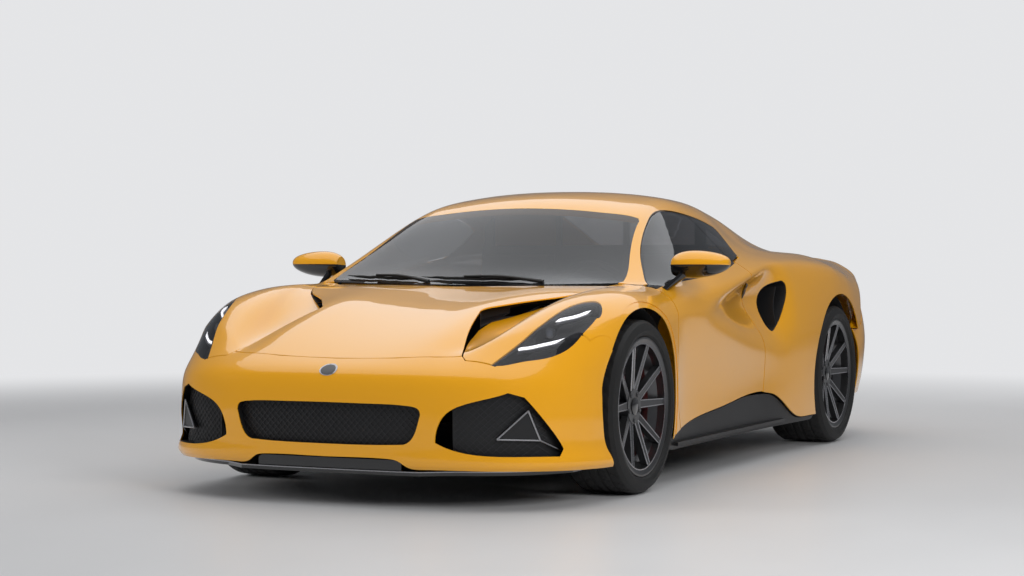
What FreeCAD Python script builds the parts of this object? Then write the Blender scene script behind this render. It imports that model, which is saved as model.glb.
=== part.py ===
import FreeCAD, Part
import math
import os

from FreeCAD import Vector

# Driving dimensions, in millimetres
overall_length = 4413.0
overall_width = 1895.0
overall_height = 1226.0
wheelbase = 2575.0
front_overhang = 905.0
ground_clearance = 128.0

# Wheels and tyres
front_tyre_diameter = 679.5
front_tyre_width = 245.0
front_tyre_outer_face = 915.0
rear_tyre_diameter = 685.0
rear_tyre_width = 295.0
rear_tyre_outer_face = 935.0
rim_seat_diameter = 508.0
rim_flange_height = 17.0
rim_wall = 9.0
brake_disc_diameter = 370.0
brake_disc_thickness = 32.0

seat_half_width = 238.0
seat_centre_share = .385
engine_half_width = 330.0

# Panels and their gaps
skin_thickness = 5.0
roof_thickness = 26.0
door_thickness = 105.0
door_skin = 22.0
glass_thickness = 5.0
shut_gap = 6.0
seat_gap = 0.3
arch_gap = 45.0
scoop_depth = 105.0
valley_depth = 62.0
valley_reach = 215.0
arch_band_width = 24.0
arch_band_depth = 2.4
duct_wall = 4.0
lamp_floor_share = .405
splitter_back_share = .56
undertray_back_share = 2.45
tub_half_share = .785
tub_sheet = 18.0
tub_wall = 25.0
beam_inner = 330.0
beam_outer = 450.0
beam_height = 130.0
tower_height = 240.0
tunnel_height = 190.0
bonnet_hinge_share = 1.100
bonnet_lug_x = 400.0
tailgate_lug_x = 150.0
lug_thickness = 12.0
upright_depth = 34.0
upright_reach = 158.0
upright_clearance = 12.0
arm_bar = 17.0
caliper_grip = 62.0
hub_depth = 38.0
steering_y = -500.0
steering_z = 735.0
steering_lean = 22.0
steering_boss_depth = 40.0
column_length = 190.0
column_radius = 38.0
mirror_stem = 14.0
pipe_radius = 48.0
caliper_front_turn = -90.0
caliper_rear_turn = 90.0
flank_rail_share = .905
overrun = 400.0

half_width = overall_width / 2
nose_y = -overall_length / 2
tail_y = overall_length / 2
front_axle_y = nose_y + front_overhang
rear_axle_y = front_axle_y + wheelbase
rear_overhang = tail_y - rear_axle_y
front_wheel_radius = front_tyre_diameter / 2
rear_wheel_radius = rear_tyre_diameter / 2
front_arch_radius = front_wheel_radius + arch_gap
rear_arch_radius = rear_wheel_radius + arch_gap * 1.25

# Feature lines of the skin, from the middle outwards, as hand-chosen shares:
# station (0 nose, 1 front axle, 2 rear axle, 3 tail), share of half width, share of height
column_shares = [
    [(.107, 0, .445), (.228, 0, .481), (.339, 0, .510), (.615, 0, .571), (.781, 0, .600),
     (1, 0, .630), (1.055, 0, .648), (1.076, 0, .655), (1.094, 0, .669), (1.133, 0, .708),
     (1.195, 0, .785), (1.272, 0, .881), (1.319, 0, .931), (1.358, 0, .961), (1.408, 0, .983),
     (1.505, 0, 1), (1.622, 0, .993), (1.738, 0, .962), (1.894, 0, .885), (2, 0, .825),
     (2.243, 0, .783), (2.457, 0, .759), (2.671, 0, .750), (2.832, 0, .759), (2.918, 0, .767)],
    [(.107, .216, .447), (.228, .218, .484), (.339, .222, .514), (.615, .222, .576),
     (.781, .224, .605), (1, .227, .635), (1.055, .230, .651), (1.082, .232, .657),
     (1.100, .232, .670), (1.133, .232, .700), (1.195, .230, .776), (1.272, .227, .873),
     (1.319, .227, .924), (1.358, .227, .954), (1.408, .230, .976), (1.505, .237, .995),
     (1.622, .241, .989), (1.738, .241, .956), (1.894, .243, .878), (2, .243, .820),
     (2.243, .243, .780), (2.457, .241, .758), (2.671, .241, .750), (2.832, .234, .758),
     (2.918, .227, .766)],
    [(.129, .380, .454), (.228, .382, .485), (.339, .385, .519), (.615, .396, .582),
     (.781, .406, .612), (1, .443, .640), (1.055, .464, .653), (1.090, .475, .657),
     (1.109, .475, .670), (1.133, .472, .687), (1.195, .461, .757), (1.272, .433, .855),
     (1.319, .422, .907), (1.358, .422, .937), (1.408, .425, .960), (1.505, .435, .979),
     (1.622, .433, .972), (1.738, .424, .940), (1.894, .433, .861), (2, .443, .805),
     (2.243, .449, .772), (2.457, .454, .755), (2.671, .454, .748), (2.832, .449, .756),
     (2.918, .438, .764)],
    [(.151, .480, .457), (.228, .491, .467), (.339, .517, .493), (.615, .575, .542),
     (.781, .614, .579), (1, .676, .628), (1.055, .705, .649), (1.102, .728, .656),
     (1.121, .734, .662), (1.144, .728, .684), (1.195, .693, .739), (1.272, .633, .830),
     (1.319, .600, .881), (1.358, .587, .910), (1.408, .581, .932), (1.505, .576, .948),
     (1.622, .559, .938), (1.738, .538, .910), (1.894, .535, .840), (2, .559, .790),
     (2.136, .581, .768), (2.457, .602, .749), (2.671, .602, .744), (2.832, .596, .752),
     (2.918, .581, .760)],
    [(.184, .549, .467), (.339, .575, .510), (.449, .596, .538), (.615, .639, .581),
     (.781, .676, .616), (1, .734, .647), (1.055, .755, .654), (1.102, .776, .657),
     (1.125, .789, .658), (1.144, .789, .665), (1.195, .776, .700), (1.272, .752, .755),
     (1.319, .739, .781), (1.358, .734, .798), (1.408, .728, .812), (1.505, .709, .836),
     (1.608, .681, .848), (1.738, .633, .832), (1.894, .625, .788), (2, .646, .771),
     (2.136, .665, .763), (2.457, .676, .745), (2.671, .676, .739), (2.832, .667, .746),
     (2.918, .649, .754)],
    [(.228, .623, .481), (.339, .646, .522), (.449, .667, .559), (.615, .702, .605),
     (.781, .739, .636), (1, .786, .655), (1.055, .804, .657), (1.102, .818, .655),
     (1.144, .831, .654), (1.195, .844, .659), (1.272, .857, .675), (1.358, .857, .695),
     (1.408, .851, .706), (1.505, .829, .728), (1.608, .783, .759), (1.680, .755, .770),
     (1.738, .739, .773), (1.894, .728, .775), (2, .752, .770), (2.136, .762, .762),
     (2.457, .765, .738), (2.671, .752, .732), (2.832, .739, .738), (2.918, .718, .744)],
    [(.339, .744, .507), (.449, .783, .548), (.615, .821, .602), (.781, .847, .627),
     (1, .892, .636), (1.055, .904, .632), (1.102, .912, .624), (1.144, .918, .618),
     (1.195, .925, .618), (1.272, .931, .627), (1.358, .931, .644), (1.408, .927, .657),
     (1.505, .910, .684), (1.608, .885, .716), (1.680, .860, .736), (1.738, .851, .744),
     (1.894, .853, .749), (2, .878, .738), (2.136, .887, .726), (2.457, .871, .700),
     (2.671, .844, .695), (2.832, .821, .703), (2.918, .792, .718)],
    [(.394, .850, .477), (.504, .884, .510), (.615, .910, .542), (.781, .934, .575),
     (1, .958, .591), (1.055, .958, .586), (1.102, .955, .575), (1.144, .953, .569),
     (1.195, .952, .571), (1.272, .952, .578), (1.358, .949, .589), (1.408, .946, .602),
     (1.505, .935, .628), (1.608, .920, .659), (1.680, .914, .684), (1.738, .920, .698),
     (1.894, .955, .703), (2, .976, .687), (2.136, .979, .667), (2.457, .955, .638),
     (2.671, .914, .636), (2.832, .881, .653), (2.918, .844, .677)],
    [(.538, .927, .457), (.670, .948, .489), (.781, .958, .510), (1, .973, .526),
     (1.055, .971, .526), (1.102, .963, .524), (1.144, .954, .525), (1.195, .951, .532),
     (1.272, .951, .526), (1.358, .950, .514), (1.408, .949, .506), (1.505, .946, .489),
     (1.608, .943, .465), (1.680, .946, .457), (1.738, .960, .465), (1.816, .982, .494),
     (1.894, .993, .522), (2, 1, .534), (2.136, 1, .530), (2.457, .979, .522),
     (2.671, .952, .522), (2.886, .908, .538)],
    [(.626, .945, .408), (.781, .963, .432), (1, .973, .445), (1.055, .971, .432),
     (1.102, .963, .359), (1.144, .946, .330), (1.195, .925, .322), (1.272, .916, .318),
     (1.408, .913, .318), (1.505, .912, .322), (1.608, .916, .326), (1.680, .933, .326),
     (1.738, .952, .326), (1.816, .976, .343), (1.894, .992, .424), (2, .998, .445),
     (2.136, .998, .445), (2.457, .984, .408), (2.779, .939, .424)],
    [(.714, .950, .375), (.781, .958, .379), (1, .966, .383), (1.067, .963, .383),
     (1.094, .955, .261), (1.117, .950, .122), (1.144, .942, .114), (1.195, .933, .114),
     (1.272, .929, .114), (1.505, .929, .114), (1.608, .933, .114), (1.680, .942, .114),
     (1.738, .952, .114), (1.816, .967, .114), (1.861, .973, .114), (1.886, .977, .245),
     (1.910, .982, .375), (2, .987, .383), (2.243, .987, .383), (2.393, .976, .375)],
]

# Plan curve of the nose and of the tail: share of half width, station
nose_plan_shares = [(0, 0), (.216, .003), (.396, .016), (.528, .043), (.644, .090), (.744, .159),
                    (.829, .256), (.889, .377), (.927, .510), (.945, .626), (.953, .737)]
tail_plan_shares = [(0, 3), (.227, 2.996), (.433, 2.985), (.591, 2.961), (.718, 2.923),
                    (.821, 2.864), (.897, 2.779), (.942, 2.666), (.963, 2.553), (.973, 2.436),
                    (.979, 2.318)]

# Rows of the nose and tail: heights at the middle, at the corner and at the wheel opening,
# then the setback from the plan curve as a share of the overhang, and the narrowing
nose_row_shares = [(.092, .092, .085, .060, -.020), (.118, .118, .106, .010, .022),
                   (.145, .145, .134, -.002, .028), (.170, .168, .160, .001, .008),
                   (.204, .202, .192, .001, .001), (.269, .263, .235, -.002, .004),
                   (.330, .320, .272, 0, 0), (.375, .364, .300, .004, -.002),
                   (.415, .408, .326, .024, -.009)]
tail_row_shares = [(.738, .685, .424, .048, -.033), (.693, .649, .408, .064, -.028),
                   (.620, .586, .392, .059, -.013), (.530, .506, .359, .021, 0),
                   (.457, .439, .326, 0, .004), (.383, .371, .290, .006, .002),
                   (.310, .302, .245, .027, -.002), (.237, .233, .204, .048, -.009),
                   (.180, .180, .180, .080, -.018)]

# Rows over the bonnet and the tail: station at the middle and at the side,
# with the shares of the way that each feature line has gone
sweep_shares = [0, .01, .05, .10, .17, .27, .43, .61, .77, .89, 1]
bonnet_row_shares = [(.104, .781), (.173, .794), (.261, .814), (.361, .836), (.471, .864),
                     (.593, .897), (.714, .946), (.836, 1), (.957, 1.022), (1.024, 1.045),
                     (1.055, 1.068)]
cowl_row_shares = [1.078, 1.094, 1.109, 1.125, 1.144, 1.168]
deck_row_shares = [(2.146, 2.125), (2.254, 2.178), (2.371, 2.227), (2.489, 2.259),
                   (2.607, 2.286), (2.714, 2.298), (2.811, 2.307), (2.886, 2.313),
                   (2.939, 2.318)]
cabin_row_first_share = 1.195
cabin_row_last_share = 2.03
cabin_row_count = 31

# Scoop in the flank that feeds the side intake: station, share of height
scoop_upper_shares = [(1.33, .589), (1.499, .648), (1.602, .684), (1.766, .716), (1.855, .728)]
scoop_lower_shares = [(1.33, .530), (1.416, .510), (1.676, .451), (1.777, .457)]

# Outlines in plan: share of half width, station
bonnet_front_shares = [(0, .107), (.26, .116), (.42, .143), (.515, .175)]
bonnet_edge_shares = [(.515, .175), (.467, .310), (.434, .416), (.408, .520), (.388, .610)]
bonnet_lip_shares = [(.388, .610), (.386, .670), (.415, .720), (.480, .830), (.560, .935), (.640, 1.010),
                     (.700, 1.062), (.728, 1.100)]
bonnet_rear_shares = [(.728, 1.100), (.475, 1.084), (.232, 1.072), (0, 1.068)]
screen_base_shares = [(0, 1.081), (.232, 1.086), (.475, 1.098), (.700, 1.122)]
screen_side_shares = [(.718, 1.130), (.705, 1.160), (.665, 1.205), (.610, 1.275), (.588, 1.318)]
screen_head_shares = [(.575, 1.326), (.30, 1.320), (0, 1.318)]
headlamp_shares = [(.642, .165), (.682, .260), (.722, .360), (.756, .480), (.790, .600), (.834, .700),
                   (.864, .726), (.884, .700), (.888, .635), (.880, .545), (.862, .467), (.834, .393),
                   (.786, .307), (.730, .242), (.676, .186)]
# Valley beside the bonnet that leads air to the vent: its outer edge in plan
valley_edge_shares = [(.525, .150), (.561, .239), (.597, .347), (.622, .479), (.632, .620), (.638, .780),
                      (.645, .900), (.650, 1.010)]
tailgate_front_shares = [(0, 1.645), (.22, 1.648), (.40, 1.660)]
tailgate_side_shares = [(.425, 1.680), (.440, 1.90), (.470, 2.30), (.490, 2.70), (.490, 2.790)]
tailgate_rear_shares = [(.470, 2.815), (.24, 2.828), (0, 2.832)]
rear_glass_front_shares = [(0, 1.665), (.34, 1.678)]
rear_glass_side_shares = [(.355, 1.690), (.370, 1.90), (.385, 2.06)]
rear_glass_rear_shares = [(.370, 2.075), (0, 2.085)]
bumper_back_shares = [(.515, .175), (.540, .150), (.660, .170), (.760, .40), (.862, .50), (.901, .537),
                      (.939, .654), (1.1, .80)]

# Outlines from the side: station, share of height
window_top_shares = [(1.144, .654), (1.195, .722), (1.272, .816), (1.331, .874), (1.389, .913),
                     (1.505, .907), (1.564, .889), (1.612, .865)]
window_rear_shares = [(1.622, .852), (1.618, .800), (1.606, .760)]
window_belt_shares = [(1.600, .757), (1.505, .726), (1.389, .698), (1.272, .679), (1.160, .655)]
divider_shares = [(1.500, .925), (1.546, .745)]
door_belt_shares = [(1.148, .648), (1.272, .674), (1.389, .692), (1.505, .720), (1.552, .736)]
door_rear_shares = [(1.552, .736), (1.560, .653), (1.595, .489), (1.605, .251)]
door_base_shares = [(1.605, .251), (1.539, .250), (1.404, .226), (1.254, .202), (1.178, .178)]
door_front_shares = [(1.178, .178), (1.162, .286), (1.146, .573), (1.143, .640)]
flank_base_shares = [(1.114, .128), (1.150, .166), (1.178, .178), (1.254, .202), (1.404, .226),
                     (1.539, .248), (1.600, .247), (1.648, .240), (1.701, .200), (1.762, .141), (1.810, .134),
                     (1.862, .133)]
tail_split_shares = [(2.36, .455), (2.65, .530), (2.77, .640), (2.845, .720), (2.845, .90)]

# Outlines from the front: share of half width, share of height
grille_top_shares = [(0, .317), (.20, .316), (.36, .312), (.405, .300), (.410, .285)]
grille_side_shares = [(.410, .285), (.395, .245), (.370, .210), (.340, .197)]
grille_base_shares = [(.340, .197), (.20, .193), (0, .192)]
intake_shares = [(.467, .205), (.474, .244), (.500, .283), (.600, .324), (.722, .352),
                 (.772, .338), (.820, .280), (.874, .182), (.870, .160), (.707, .165),
                 (.540, .182)]
side_intake_shares = [(1.650, .497), (1.648, .560), (1.656, .615), (1.674, .642), (1.700, .657), (1.722, .664),
                      (1.736, .646), (1.735, .610), (1.726, .570), (1.708, .518), (1.687, .486), (1.667, .473)]
side_vane_shares = [(1.708, .640), (1.690, .480)]

bumper_base_shares = [(0, .154), (.27, .154), (.32, .147), (.355, .130), (.42, .124), (.60, .123), (.80, .119),
                      (1.1, .100)]
diffuser_opening_shares = [(0, .300), (.50, .297), (.60, .280), (.68, .02)]
pipe_shares = (.44, .340)
tail_lamp_shares = [(.36, .655), (.60, .655), (.80, .640), (.80, .615), (.60, .622), (.36, .622)]

feature_count = len(column_shares)
edge_column = 2 * (feature_count - 1)


def station(share):
    """Length position of a station: 0 nose, 1 front axle, 2 rear axle, 3 tail."""
    if share <= 1:
        return nose_y + front_overhang * share
    if share <= 2:
        return front_axle_y + wheelbase * (share - 1)
    return rear_axle_y + rear_overhang * (share - 2)


def plan_points(shares):
    return [(half_width * across, station(along)) for across, along in shares]


def side_points(shares):
    return [(station(along), overall_height * up) for along, up in shares]


def front_points(shares):
    return [(half_width * across, overall_height * up) for across, up in shares]


def smooth_step(low, high, value):
    share = min(1, max(0, (value - low) / (high - low)))
    return share * share * (3 - 2 * share)


def monotone(knots, values, at):
    """Smooth curve through the values that doesn't overshoot them."""
    count = len(knots)
    steps = [b - a for a, b in zip(knots, knots[1:])]
    slopes = [(b - a) / step for a, b, step in zip(values, values[1:], steps)]
    if at <= knots[0]:
        return values[0] + slopes[0] * (at - knots[0])
    if at >= knots[-1]:
        return values[-1] + slopes[-1] * (at - knots[-1])
    index = max(i for i in range(count - 1) if knots[i] <= at)

    def tangent(i):
        if i in (0, count - 1):
            return slopes[0 if i == 0 else -1]
        if slopes[i - 1] * slopes[i] <= 0:
            return 0
        before = 2 * steps[i] + steps[i - 1]
        after = steps[i] + 2 * steps[i - 1]
        return (before + after) / (before / slopes[i - 1] + after / slopes[i])

    step = steps[index]
    t = (at - knots[index]) / step
    start = values[index] * (2 * t ** 3 - 3 * t ** 2 + 1) + step * tangent(index) * (t ** 3 - 2 * t ** 2 + t)
    finish = values[index + 1] * (3 * t ** 2 - 2 * t ** 3) + step * tangent(index + 1) * (t ** 3 - t ** 2)
    return start + finish


def line_height(shares, y):
    """Height of a line drawn from the side at a length position."""
    points = side_points(shares)
    return monotone([p[0] for p in points], [p[1] for p in points], y)


def feature_point(column, along):
    knots = [k[0] for k in column_shares[column]]
    across = monotone(knots, [k[1] for k in column_shares[column]], along)
    up = monotone(knots, [k[2] for k in column_shares[column]], along)
    return (half_width * across, station(along), overall_height * up)


def end_row(row, plan_shares, overhang, inwards):
    """One row of the nose or tail, set back from its plan curve."""
    middle, corner, side, setback, narrowing = row
    points = []
    for column, (across, along) in enumerate(plan_shares):
        share = column / (feature_count - 1)
        if share < .6:
            height = middle + (corner - middle) * (share / .6) ** 3
        else:
            height = corner + (side - corner) * ((share - .6) / .4) ** 1.2
        y = station(along) + inwards * setback * overhang
        points.append((half_width * across * (1 + narrowing), y, overall_height * height))
    return points


def swept_row(middle, side):
    return [feature_point(column, middle + (side - middle) * sweep_shares[column])
            for column in range(feature_count)]


def feature_rows():
    rows = [end_row(row, nose_plan_shares, front_overhang, 1) for row in nose_row_shares]
    rows += [swept_row(middle, side) for middle, side in bonnet_row_shares]
    rows += [swept_row(along, along) for along in cowl_row_shares]
    step = (cabin_row_last_share - cabin_row_first_share) / (cabin_row_count - 1)
    for index in range(cabin_row_count):
        along = cabin_row_first_share + step * index
        rows.append(swept_row(along, along))
    rows += [swept_row(middle, side) for middle, side in deck_row_shares]
    rows += [end_row(row, tail_plan_shares, rear_overhang, -1) for row in tail_row_shares]
    return rows


def between(before, start, finish, after):
    """Point half way along a smooth line, from its four neighbours."""
    return tuple((9 * (s + f) - b - a) / 16 for b, s, f, a in zip(before, start, finish, after))


def scooped(point):
    """The point pressed in where the scoop runs along the flank."""
    x, y, z = point
    if x < half_width * .6 or not station(1.3) < y < station(1.8):
        return point
    upper = line_height(scoop_upper_shares, y)
    lower = line_height(scoop_lower_shares, y)
    roll = (upper - lower) * .25
    along = smooth_step(station(1.26), station(1.59), y) * (1 - smooth_step(station(1.66), station(1.755), y))
    across = smooth_step(lower - roll / 2, lower + 2 * roll, z)
    across *= 1 - smooth_step(upper - roll, upper + roll / 5, z)
    return (x - scoop_depth * along * across, y, z)


def half_net():
    """Control points of the left half of the skin, two for each feature line."""
    net = []
    for row in feature_rows():
        mirrored = (-row[1][0], row[1][1], row[1][2])
        beyond = tuple(2 * a - b for a, b in zip(row[-1], row[-2]))
        line = [mirrored] + row + [beyond]
        points = []
        for index in range(1, len(line) - 2):
            points.append(line[index])
            points.append(between(line[index - 1], line[index], line[index + 1], line[index + 2]))
        points.append(line[-2])
        net.append([scooped(point) for point in points])
    return net


def full_net():
    return [[(-x, y, z) for x, y, z in row[:0:-1]] + row for row in half_net()]


skin_net = [[Vector(*point) for point in row] for row in full_net()]
row_count = len(skin_net)
column_count = len(skin_net[0])


def inward_normal(row, column):
    across = skin_net[row][min(column + 1, column_count - 1)] - skin_net[row][max(column - 1, 0)]
    along = skin_net[min(row + 1, row_count - 1)][column] - skin_net[max(row - 1, 0)][column]
    return along.cross(across).normalize()


inward_normals = [[inward_normal(row, column) for column in range(column_count)] for row in range(row_count)]


def surface_of(poles):
    surface = Part.BSplineSurface()
    row_knots = list(range(len(poles) - 2))
    column_knots = list(range(len(poles[0]) - 2))
    row_mults = [4] + [1] * (len(row_knots) - 2) + [4]
    column_mults = [4] + [1] * (len(column_knots) - 2) + [4]
    surface.buildFromPolesMultsKnots(poles, row_mults, column_mults, row_knots, column_knots,
                                     False, False, 3, 3)
    return surface


def skin_at(depth):
    """Skin surface moved inwards, by a distance or by what a function says for each point."""
    poles = []
    for row in range(row_count):
        line = []
        for column in range(column_count):
            point = skin_net[row][column]
            if callable(depth):
                line.append(depth(point, inward_normals[row][column]))
            else:
                line.append(point + inward_normals[row][column] * depth)
        poles.append(line)
    return surface_of(poles)


def row_span(y_from, y_to, columns):
    """Rows of the net that cover the skin between two length positions."""
    first = max([0] + [r for r in range(row_count) if max(skin_net[r][c].y for c in columns) < y_from])
    last = min([row_count - 1] + [r for r in range(row_count) if min(skin_net[r][c].y for c in columns) > y_to])
    return (min(max(first - 2, 0), row_count - 3), min(max(last, 0), row_count - 3))


def skin_patch(y_from, y_to, column_from, column_to, outer_depth, inner_depth):
    """Closed solid between two depths under the skin. Columns count from the middle line."""
    middle = column_count // 2
    columns = range(middle + column_from, middle + column_to + 1)
    u_from, u_to = row_span(y_from, y_to, columns)
    v_from = min(max(middle + column_from - 1, 0), column_count - 3)
    v_to = min(max(middle + column_to - 1, 0), column_count - 3)
    if column_from <= -edge_column:
        v_from = 0
    if column_to >= edge_column:
        v_to = column_count - 3
    faces = []
    borders = []
    for depth in (outer_depth, inner_depth):
        surface = skin_at(depth)
        surface.segment(u_from, u_to, v_from, v_to)
        faces.append(surface.toShape())
        borders.append([surface.uIso(u_from), surface.uIso(u_to), surface.vIso(v_from), surface.vIso(v_to)])
    for outer, inner in zip(*borders):
        faces.append(Part.makeRuledSurface(outer.toShape(), inner.toShape()))
    shell = Part.makeShell(faces)
    shell.sewShape()
    solid = Part.makeSolid(shell)
    if solid.Volume < 0:
        solid.reverse()
    return solid


def grown(paths, distance):
    """Closed outline of joined paths with each point moved outwards."""
    loop = [point for path in paths for point in path[:-1]]
    turn = sum(a[0] * b[1] - b[0] * a[1] for a, b in zip(loop, loop[1:] + loop[:1]))
    sign = 1 if turn > 0 else -1
    moved = []
    for before, point, after in zip(loop[-1:] + loop[:-1], loop, loop[1:] + loop[:1]):
        normals = []
        for a, b in ((before, point), (point, after)):
            span = math.hypot(b[0] - a[0], b[1] - a[1])
            normals.append(((b[1] - a[1]) / span, (a[0] - b[0]) / span))
        (p, q), (r, s) = normals
        reach = sign * distance / max(1 + p * r + q * s, .5)
        moved.append((point[0] + (p + r) * reach, point[1] + (q + s) * reach))
    out = []
    index = 0
    for path in paths:
        size = len(path) - 1
        out.append([moved[(index + i) % len(moved)] for i in range(size + 1)])
        index += size
    return out


def wire_of(paths, place):
    """Closed wire: a path of two points is a line, a longer one is a curve through its points."""
    edges = []
    for path in paths:
        points = [place(*point) for point in path]
        if len(points) == 2:
            edges.append(Part.makeLine(points[0], points[1]))
        else:
            curve = Part.BSplineCurve()
            curve.interpolate(points)
            edges.append(curve.toShape())
    return Part.Wire(edges)


def plan_prism(paths, low, high, grow=0):
    wire = wire_of(grown(paths, grow) if grow else paths, lambda x, y: Vector(x, y, low))
    return Part.Face(wire).extrude(Vector(0, 0, high - low))


def side_prism(paths, inner, outer, grow=0):
    wire = wire_of(grown(paths, grow) if grow else paths, lambda y, z: Vector(inner, y, z))
    return Part.Face(wire).extrude(Vector(outer - inner, 0, 0))


def front_prism(paths, front, back, grow=0):
    wire = wire_of(grown(paths, grow) if grow else paths, lambda x, z: Vector(x, front, z))
    return Part.Face(wire).extrude(Vector(0, back - front, 0))


def block(x_from, x_to, y_from, y_to, z_from, z_to):
    corner = Vector(x_from, y_from, z_from)
    return Part.makeBox(x_to - x_from, y_to - y_from, z_to - z_from, corner)


def mirrored(shape):
    return shape.mirror(Vector(0, 0, 0), Vector(1, 0, 0))


def both_sides(shape):
    return Part.makeCompound(shape.Solids + mirrored(shape).Solids)


def chain(*parts):
    """Join runs of points end to end as the paths of an outline."""
    paths = []
    for part in parts:
        if paths and part[0] != paths[-1][-1]:
            paths.append([paths[-1][-1], part[0]])
        paths.append(list(part))
    if paths[-1][-1] != paths[0][0]:
        paths.append([paths[-1][-1], paths[0][0]])
    return paths


def about_middle(runs):
    """Whole outline from its left half, which starts and ends on the middle line."""
    points = [list(run) for run in runs]
    other = [[(-x, y) for x, y in reversed(run)] for run in reversed(points)]
    first = [(-x, y) for x, y in reversed(points[0])][:-1] + points[0]
    last = points[-1] + [(-x, y) for x, y in reversed(points[-1])][1:]
    return chain(first, *points[1:-1], last, *other[1:-1])


def bonnet_outline():
    return about_middle([plan_points(bonnet_front_shares), plan_points(bonnet_edge_shares),
                         plan_points(bonnet_lip_shares), plan_points(bonnet_rear_shares)])


def screen_outline():
    return about_middle([plan_points(screen_base_shares), plan_points(screen_side_shares),
                         plan_points(screen_head_shares)])


def tailgate_outline():
    return about_middle([plan_points(tailgate_front_shares), plan_points(tailgate_side_shares),
                         plan_points(tailgate_rear_shares)])


def rear_glass_outline():
    return about_middle([plan_points(rear_glass_front_shares), plan_points(rear_glass_side_shares),
                         plan_points(rear_glass_rear_shares)])


def grille_outline():
    return about_middle([front_points(grille_top_shares), front_points(grille_side_shares),
                         front_points(grille_base_shares)])


def headlamp_outline():
    points = plan_points(headlamp_shares)
    return chain(points[:6], points[5:9], points[8:] + points[:1])


def intake_outline():
    points = front_points(intake_shares)
    return chain(points[:5], points[4:6], points[5:8], points[7:9], points[8:] + points[:1])


def window_outline():
    return chain(side_points(window_top_shares), side_points(window_rear_shares),
                 side_points(window_belt_shares))


def door_outline():
    return chain(side_points(door_belt_shares), side_points(door_rear_shares),
                 side_points(door_base_shares), side_points(door_front_shares))


def arch_cylinder(axle_y, radius, centre_z):
    return Part.makeCylinder(radius, half_width, Vector(half_width * .5, axle_y, centre_z), Vector(1, 0, 0))


def front_arch():
    return arch_cylinder(front_axle_y, front_arch_radius, front_wheel_radius)


def rear_arch():
    return arch_cylinder(rear_axle_y, rear_arch_radius, rear_wheel_radius)


def side_intake_outline():
    points = side_points(side_intake_shares)
    return chain(points[:6], points[5:] + points[:1])


def arch_band(front):
    """Shallow step round a wheel opening, in what it is cut from."""
    centre, opening = (front_axle_y, front_arch_radius) if front else (rear_axle_y, rear_arch_radius)
    height = front_wheel_radius if front else rear_wheel_radius
    ring = arch_cylinder(centre, opening + arch_band_width, height)
    reach = opening + 2 * arch_band_width
    skin = skin_patch(centre - reach, centre + reach, 10, edge_column, -arch_band_depth * 4, arch_band_depth)
    return skin.common(ring)


def valley_depth_at(point):
    """How far the wing lies under the line of the skin, in the valley beside the bonnet."""
    edge = plan_points(valley_edge_shares)
    outer = monotone([p[1] for p in edge], [p[0] for p in edge], point.y)
    across = min(1, max(0, (outer - abs(point.x)) / valley_reach))
    along = smooth_step(station(.10), station(.55), point.y)
    return valley_depth * along * across ** .8


def wing_face(point, normal):
    return point - Vector(0, 0, valley_depth_at(point))


def wing_back(point, normal):
    return wing_face(point, normal) + normal * skin_thickness


def wing_over(point, normal):
    """A face above the wing, from which its liner is trimmed."""
    return point + Vector(0, 0, overrun / 4)


def wing_under(point, normal):
    return wing_face(point, normal) + normal * (skin_thickness + seat_gap)


def vent_back(point, normal):
    return wing_face(point, normal) + normal * duct_wall


def front_bumper():
    skin = skin_patch(nose_y - overrun, station(.9), -edge_column, edge_column, 0, skin_thickness)
    back = plan_points(bumper_back_shares)
    front = plan_points(bonnet_front_shares)
    beyond = nose_y - overrun
    left = front[:-1] + back
    outline = [[(-x, y) for x, y in reversed(left)][:-1] + left]
    half_gap = shut_gap / 2
    line = [(x, y - half_gap) for x, y in outline[0]]
    loop = line + [(line[-1][0], beyond), (line[0][0], beyond), line[0]]
    region = plan_prism([[a, b] for a, b in zip(loop, loop[1:])], 0, overall_height)
    body = skin.common(region)
    body = body.cut(front_arch()).cut(mirrored(front_arch()))
    lamp = plan_prism(headlamp_outline(), overall_height * lamp_floor_share, overall_height, shut_gap / 2)
    body = body.cut(lamp).cut(mirrored(lamp))
    body = body.cut(front_prism(grille_outline(), beyond, station(.6)))
    intake = front_prism(intake_outline(), beyond, station(.75))
    return body.cut(intake).cut(mirrored(intake))


def bonnet():
    skin = skin_patch(station(.05), station(1.12), -10, 10, 0, skin_thickness)
    lid = skin.common(plan_prism(bonnet_outline(), 0, overall_height, -shut_gap / 2))
    lugs = hinge_lugs(bonnet_lug_x, station(bonnet_hinge_share) - 6 * lug_thickness, overall_height * .638,
                      overall_height * .70)
    lugs = lugs.cut(skin_patch(station(.05), station(1.12), -10, 10, -overrun, skin_thickness / 2))
    return lid.fuse([main_solid(lug) for lug in (lugs, mirrored(lugs))]).removeSplitter()


def hinge_lugs(inner, front, low, high):
    """Upright lug of a lid, beside the lug of the body."""
    return block(inner, inner + lug_thickness, front, front + 3 * lug_thickness, low - 3 * lug_thickness, high)


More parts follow.
